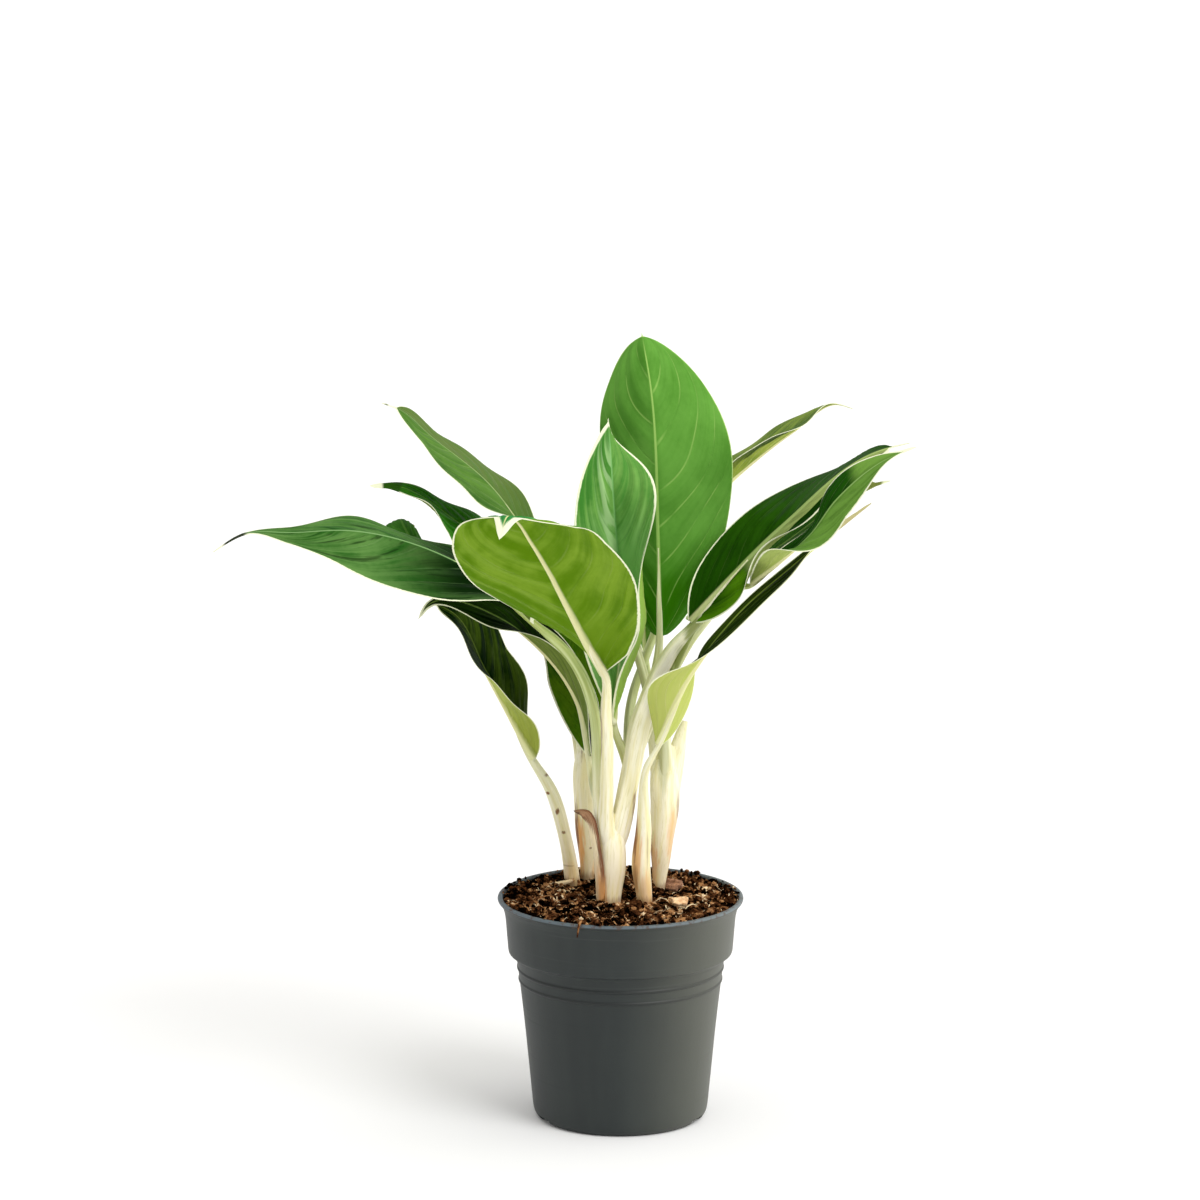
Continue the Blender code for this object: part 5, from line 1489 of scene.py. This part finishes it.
def strand_faces(count):
    """Sides and two ends of each three-sided strip."""
    corner = SIDES * np.arange(FIBRE_RINGS - 1)[:, None]
    a, b = corner + np.arange(SIDES), corner + (np.arange(SIDES) + 1) % SIDES
    sides = np.stack((a, b, b + SIDES, a + SIDES), -1).reshape(-1, 4)
    shift = SIDES * FIBRE_RINGS * np.arange(count)[:, None, None]
    ends = np.stack((np.array([2, 1, 0]), SIDES * (FIBRE_RINGS - 1) + np.array([0, 1, 2])))
    return (sides + shift).reshape(-1, 4).tolist() + (ends + shift).reshape(-1, 3).tolist()


starts = scattered(FIBRES, FIBRE_REACH)
count = len(starts[0])
grid = strands(starts, dice.uniform(0, 2 * np.pi, count), sizes_between(3, 11, count),
               sizes_between(0.1, 0.6, count), dice.normal(0, 0.7, count), dice.uniform(0, 0.9, count))
shade = np.repeat(dice.uniform(0, 1, count) ** 1.6, SIDES * FIBRE_RINGS)
fibre_peat = soil_finish("fibre_peat", 0.3, 0.5)
fibre_mesh = new_mesh("soil_fibres", grid.reshape(-1, 3), strand_faces(count), {"shade": shade}, [fibre_peat])
new_piece("soil_fibres", fibre_mesh, "potting_soil")
print("fibres:", count)

# %% A stick and a fibre over the rim
LONG_BITS = {
    # Points in millimetres, the radius at each, and how light the bit is
    "soil_stick": ([(-33.2, 21, 109.6), (-29.5, 21.5, 110.4), (-26, 22.5, 110.9), (-22.8, 24, 111.6)],
                   [0.9, 1.2, 1.0, 0.7], 0.85),
    "rim_fibre": ([(-17.6, -50.5, 109.4), (-18.8, -54, 110.9), (-19.8, -57, 111.0), (-20.3, -58.4, 108.4),
                   (-20.9, -57.6, 104.2)], [0.35, 0.55, 0.6, 0.5, 0.3], 0.2)}
LONG_BIT_RINGS = 30
for name, (points, radii, light) in LONG_BITS.items():
    centres, sizes = stalk_path(points, radii, None, LONG_BIT_RINGS)
    grid, _ = ring_grid(centres, sizes, np.array([0.2, 0.1, 1.0]), 0 * sizes, 1.0)
    points, faces = capped_tube(grid)
    mesh = new_mesh(name, points, faces, {"shade": np.full(len(points), light)}, [fibre_peat])
    new_piece(name, mesh, "potting_soil")
print("longer bits:", len(LONG_BITS))

# %% [markdown]
# ## Sheath and bark
# A dried leaf sheath, brown and papery, still clings to the front cane and ends in a dark curled
# point. It is a small blade, so the leaf's own function makes it, with a crumpled relief. Two
# bits of bark lie on the soil: slabs with a broken outline, made as a ball pushed towards a box.

# %% Dried sheath
SHEATH_RIB = (0.3, 0.5, 0.2)

paper = Finish("dried_sheath", Roughness=0.7)
t, s, edge = (paper.attribute(mark) for mark in ("along", "across", "edge"))
strips = paper.noise(paper.point(s * 6, t * 3, 0.0), 1.5, 4, 0.7)
cloud = paper.noise(paper.place(), 400, 3)
brown = paper.mix(strips.ramp(0.35, 0.65), (190, 148, 108), (120, 78, 50))
paper.colour = paper.mix(strips.ramp(0.3, 0.7), (252, 240, 206), (236, 210, 160))
paper.paint(t.ramp(0.5, 0.15) * (s * 0.5 + strips).ramp(0.2, 0.8), (230, 168, 104))
paper.paint((t + s * 0.1 + (strips - 0.5) * 0.3).ramp(0.66, 0.78), brown)
paper.paint((s + (strips - 0.5) * 1.2).ramp(0.35, 0.75) * t.ramp(0.12, 0.3) * 0.95, (122, 70, 34))
paper.paint((t + (cloud - 0.5) * 0.2).ramp(0.9, 0.99), (70, 44, 30))
paper.paint((edge + (cloud - 0.5) * 0.8).ramp(0.4, 0.1) * t.ramp(0.3, 0.6) * 0.8, (88, 50, 26))
paper.give(Base_Color=paper.colour, Normal=paper.bump(strips * 0.7 + cloud * 0.3, 0.0005))

sheath_mesh = blade_mesh("dried_sheath_paper", SHEATH, SHEATH_RIB, (paper.material,),
                         veins=5, swell=0.3, wave=0.7, seed=0.4)
sheath = new_piece("dried_sheath_paper", sheath_mesh, "dried_sheath")
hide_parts("dried_sheath")
print("sheath faces:", len(sheath_mesh.polygons))

# %% Bits of bark
SLAB_ROWS, SLAB_COLUMNS = 40, 64
SQUARENESS = 10
BARK = [
    # Measured chip, size in millimetres, turn and tilt in degrees, light and dark colour
    ("tan_chip", (5.6, 8.2, 3.2), -72, 32, (255, 222, 178), (216, 160, 108)),
    ("brown_chip", (6.0, 8.6, 3.2), -120, 34, (190, 140, 108), (116, 78, 56))]


def slab_mesh(name, centre, size, turn, tilt, material):
    """Slab of bark: a ball pushed towards a box, narrowed to one end, made ragged and bent.

    Each point of the ball is divided by the tenth root of the sum of its tenth powers.
    """
    polar = np.linspace(0, np.pi, SLAB_ROWS)
    ball = turned_grid(np.stack((np.sin(polar), np.cos(polar)), -1),
                       np.linspace(0, 2 * np.pi, SLAB_COLUMNS, endpoint=False))
    box = ball / (np.abs(ball) ** SQUARENESS).sum(-1, keepdims=True) ** (1 / SQUARENESS)
    ragged = 1 + 0.1 * cloudy(box[..., 0] * 3 + turn, box[..., 1] * 3, 1, 5)[..., None]
    slab = box * ragged * np.array(size) / 2
    slab[..., 1] *= 1 - 0.3 * fade(box[..., 0], -0.2, 1)
    slab[..., 2] += 0.12 * size[2] * np.sin(slab[..., 0] * 1.9 + turn)
    slab[..., 2] += 0.05 * size[2] * cloudy(slab[..., 0] * 2, slab[..., 1] * 5, 1, 6)
    a, b = math.radians(turn), math.radians(tilt)
    roll = np.array([(math.cos(b), 0, math.sin(b)), (0, 1, 0), (-math.sin(b), 0, math.cos(b))])
    spin = np.array([(math.cos(a), -math.sin(a), 0), (math.sin(a), math.cos(a), 0), (0, 0, 1)])
    slab = slab @ (spin @ roll).T + centre
    return turned_mesh(name, slab[::-1], [material])


def bark_finish(name, light, dark):
    """Bark: bands of light and dark along the slab, flecked and rough."""
    bark = Finish(name, Roughness=0.85)
    bands = bark.noise(bark.place(), 500, 5, 0.7)
    patch = bark.noise(bark.place(), 160, 3)
    colour = bark.mix((bands * 0.7 + patch * 0.3).ramp(0.38, 0.62), dark, light)
    return bark.give(Base_Color=colour, Normal=bark.bump(bands, 0.0006))


for node, size, turn, tilt, light, dark in BARK:
    centre = np.add(*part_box(node)) / 2 / MM
    mesh = slab_mesh(node + "_slab", centre, size, turn, tilt, bark_finish(node + "_bark", light, dark))
    slab = new_piece(node + "_slab", mesh, node)
    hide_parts(node)
print("bark slabs:", len(BARK))
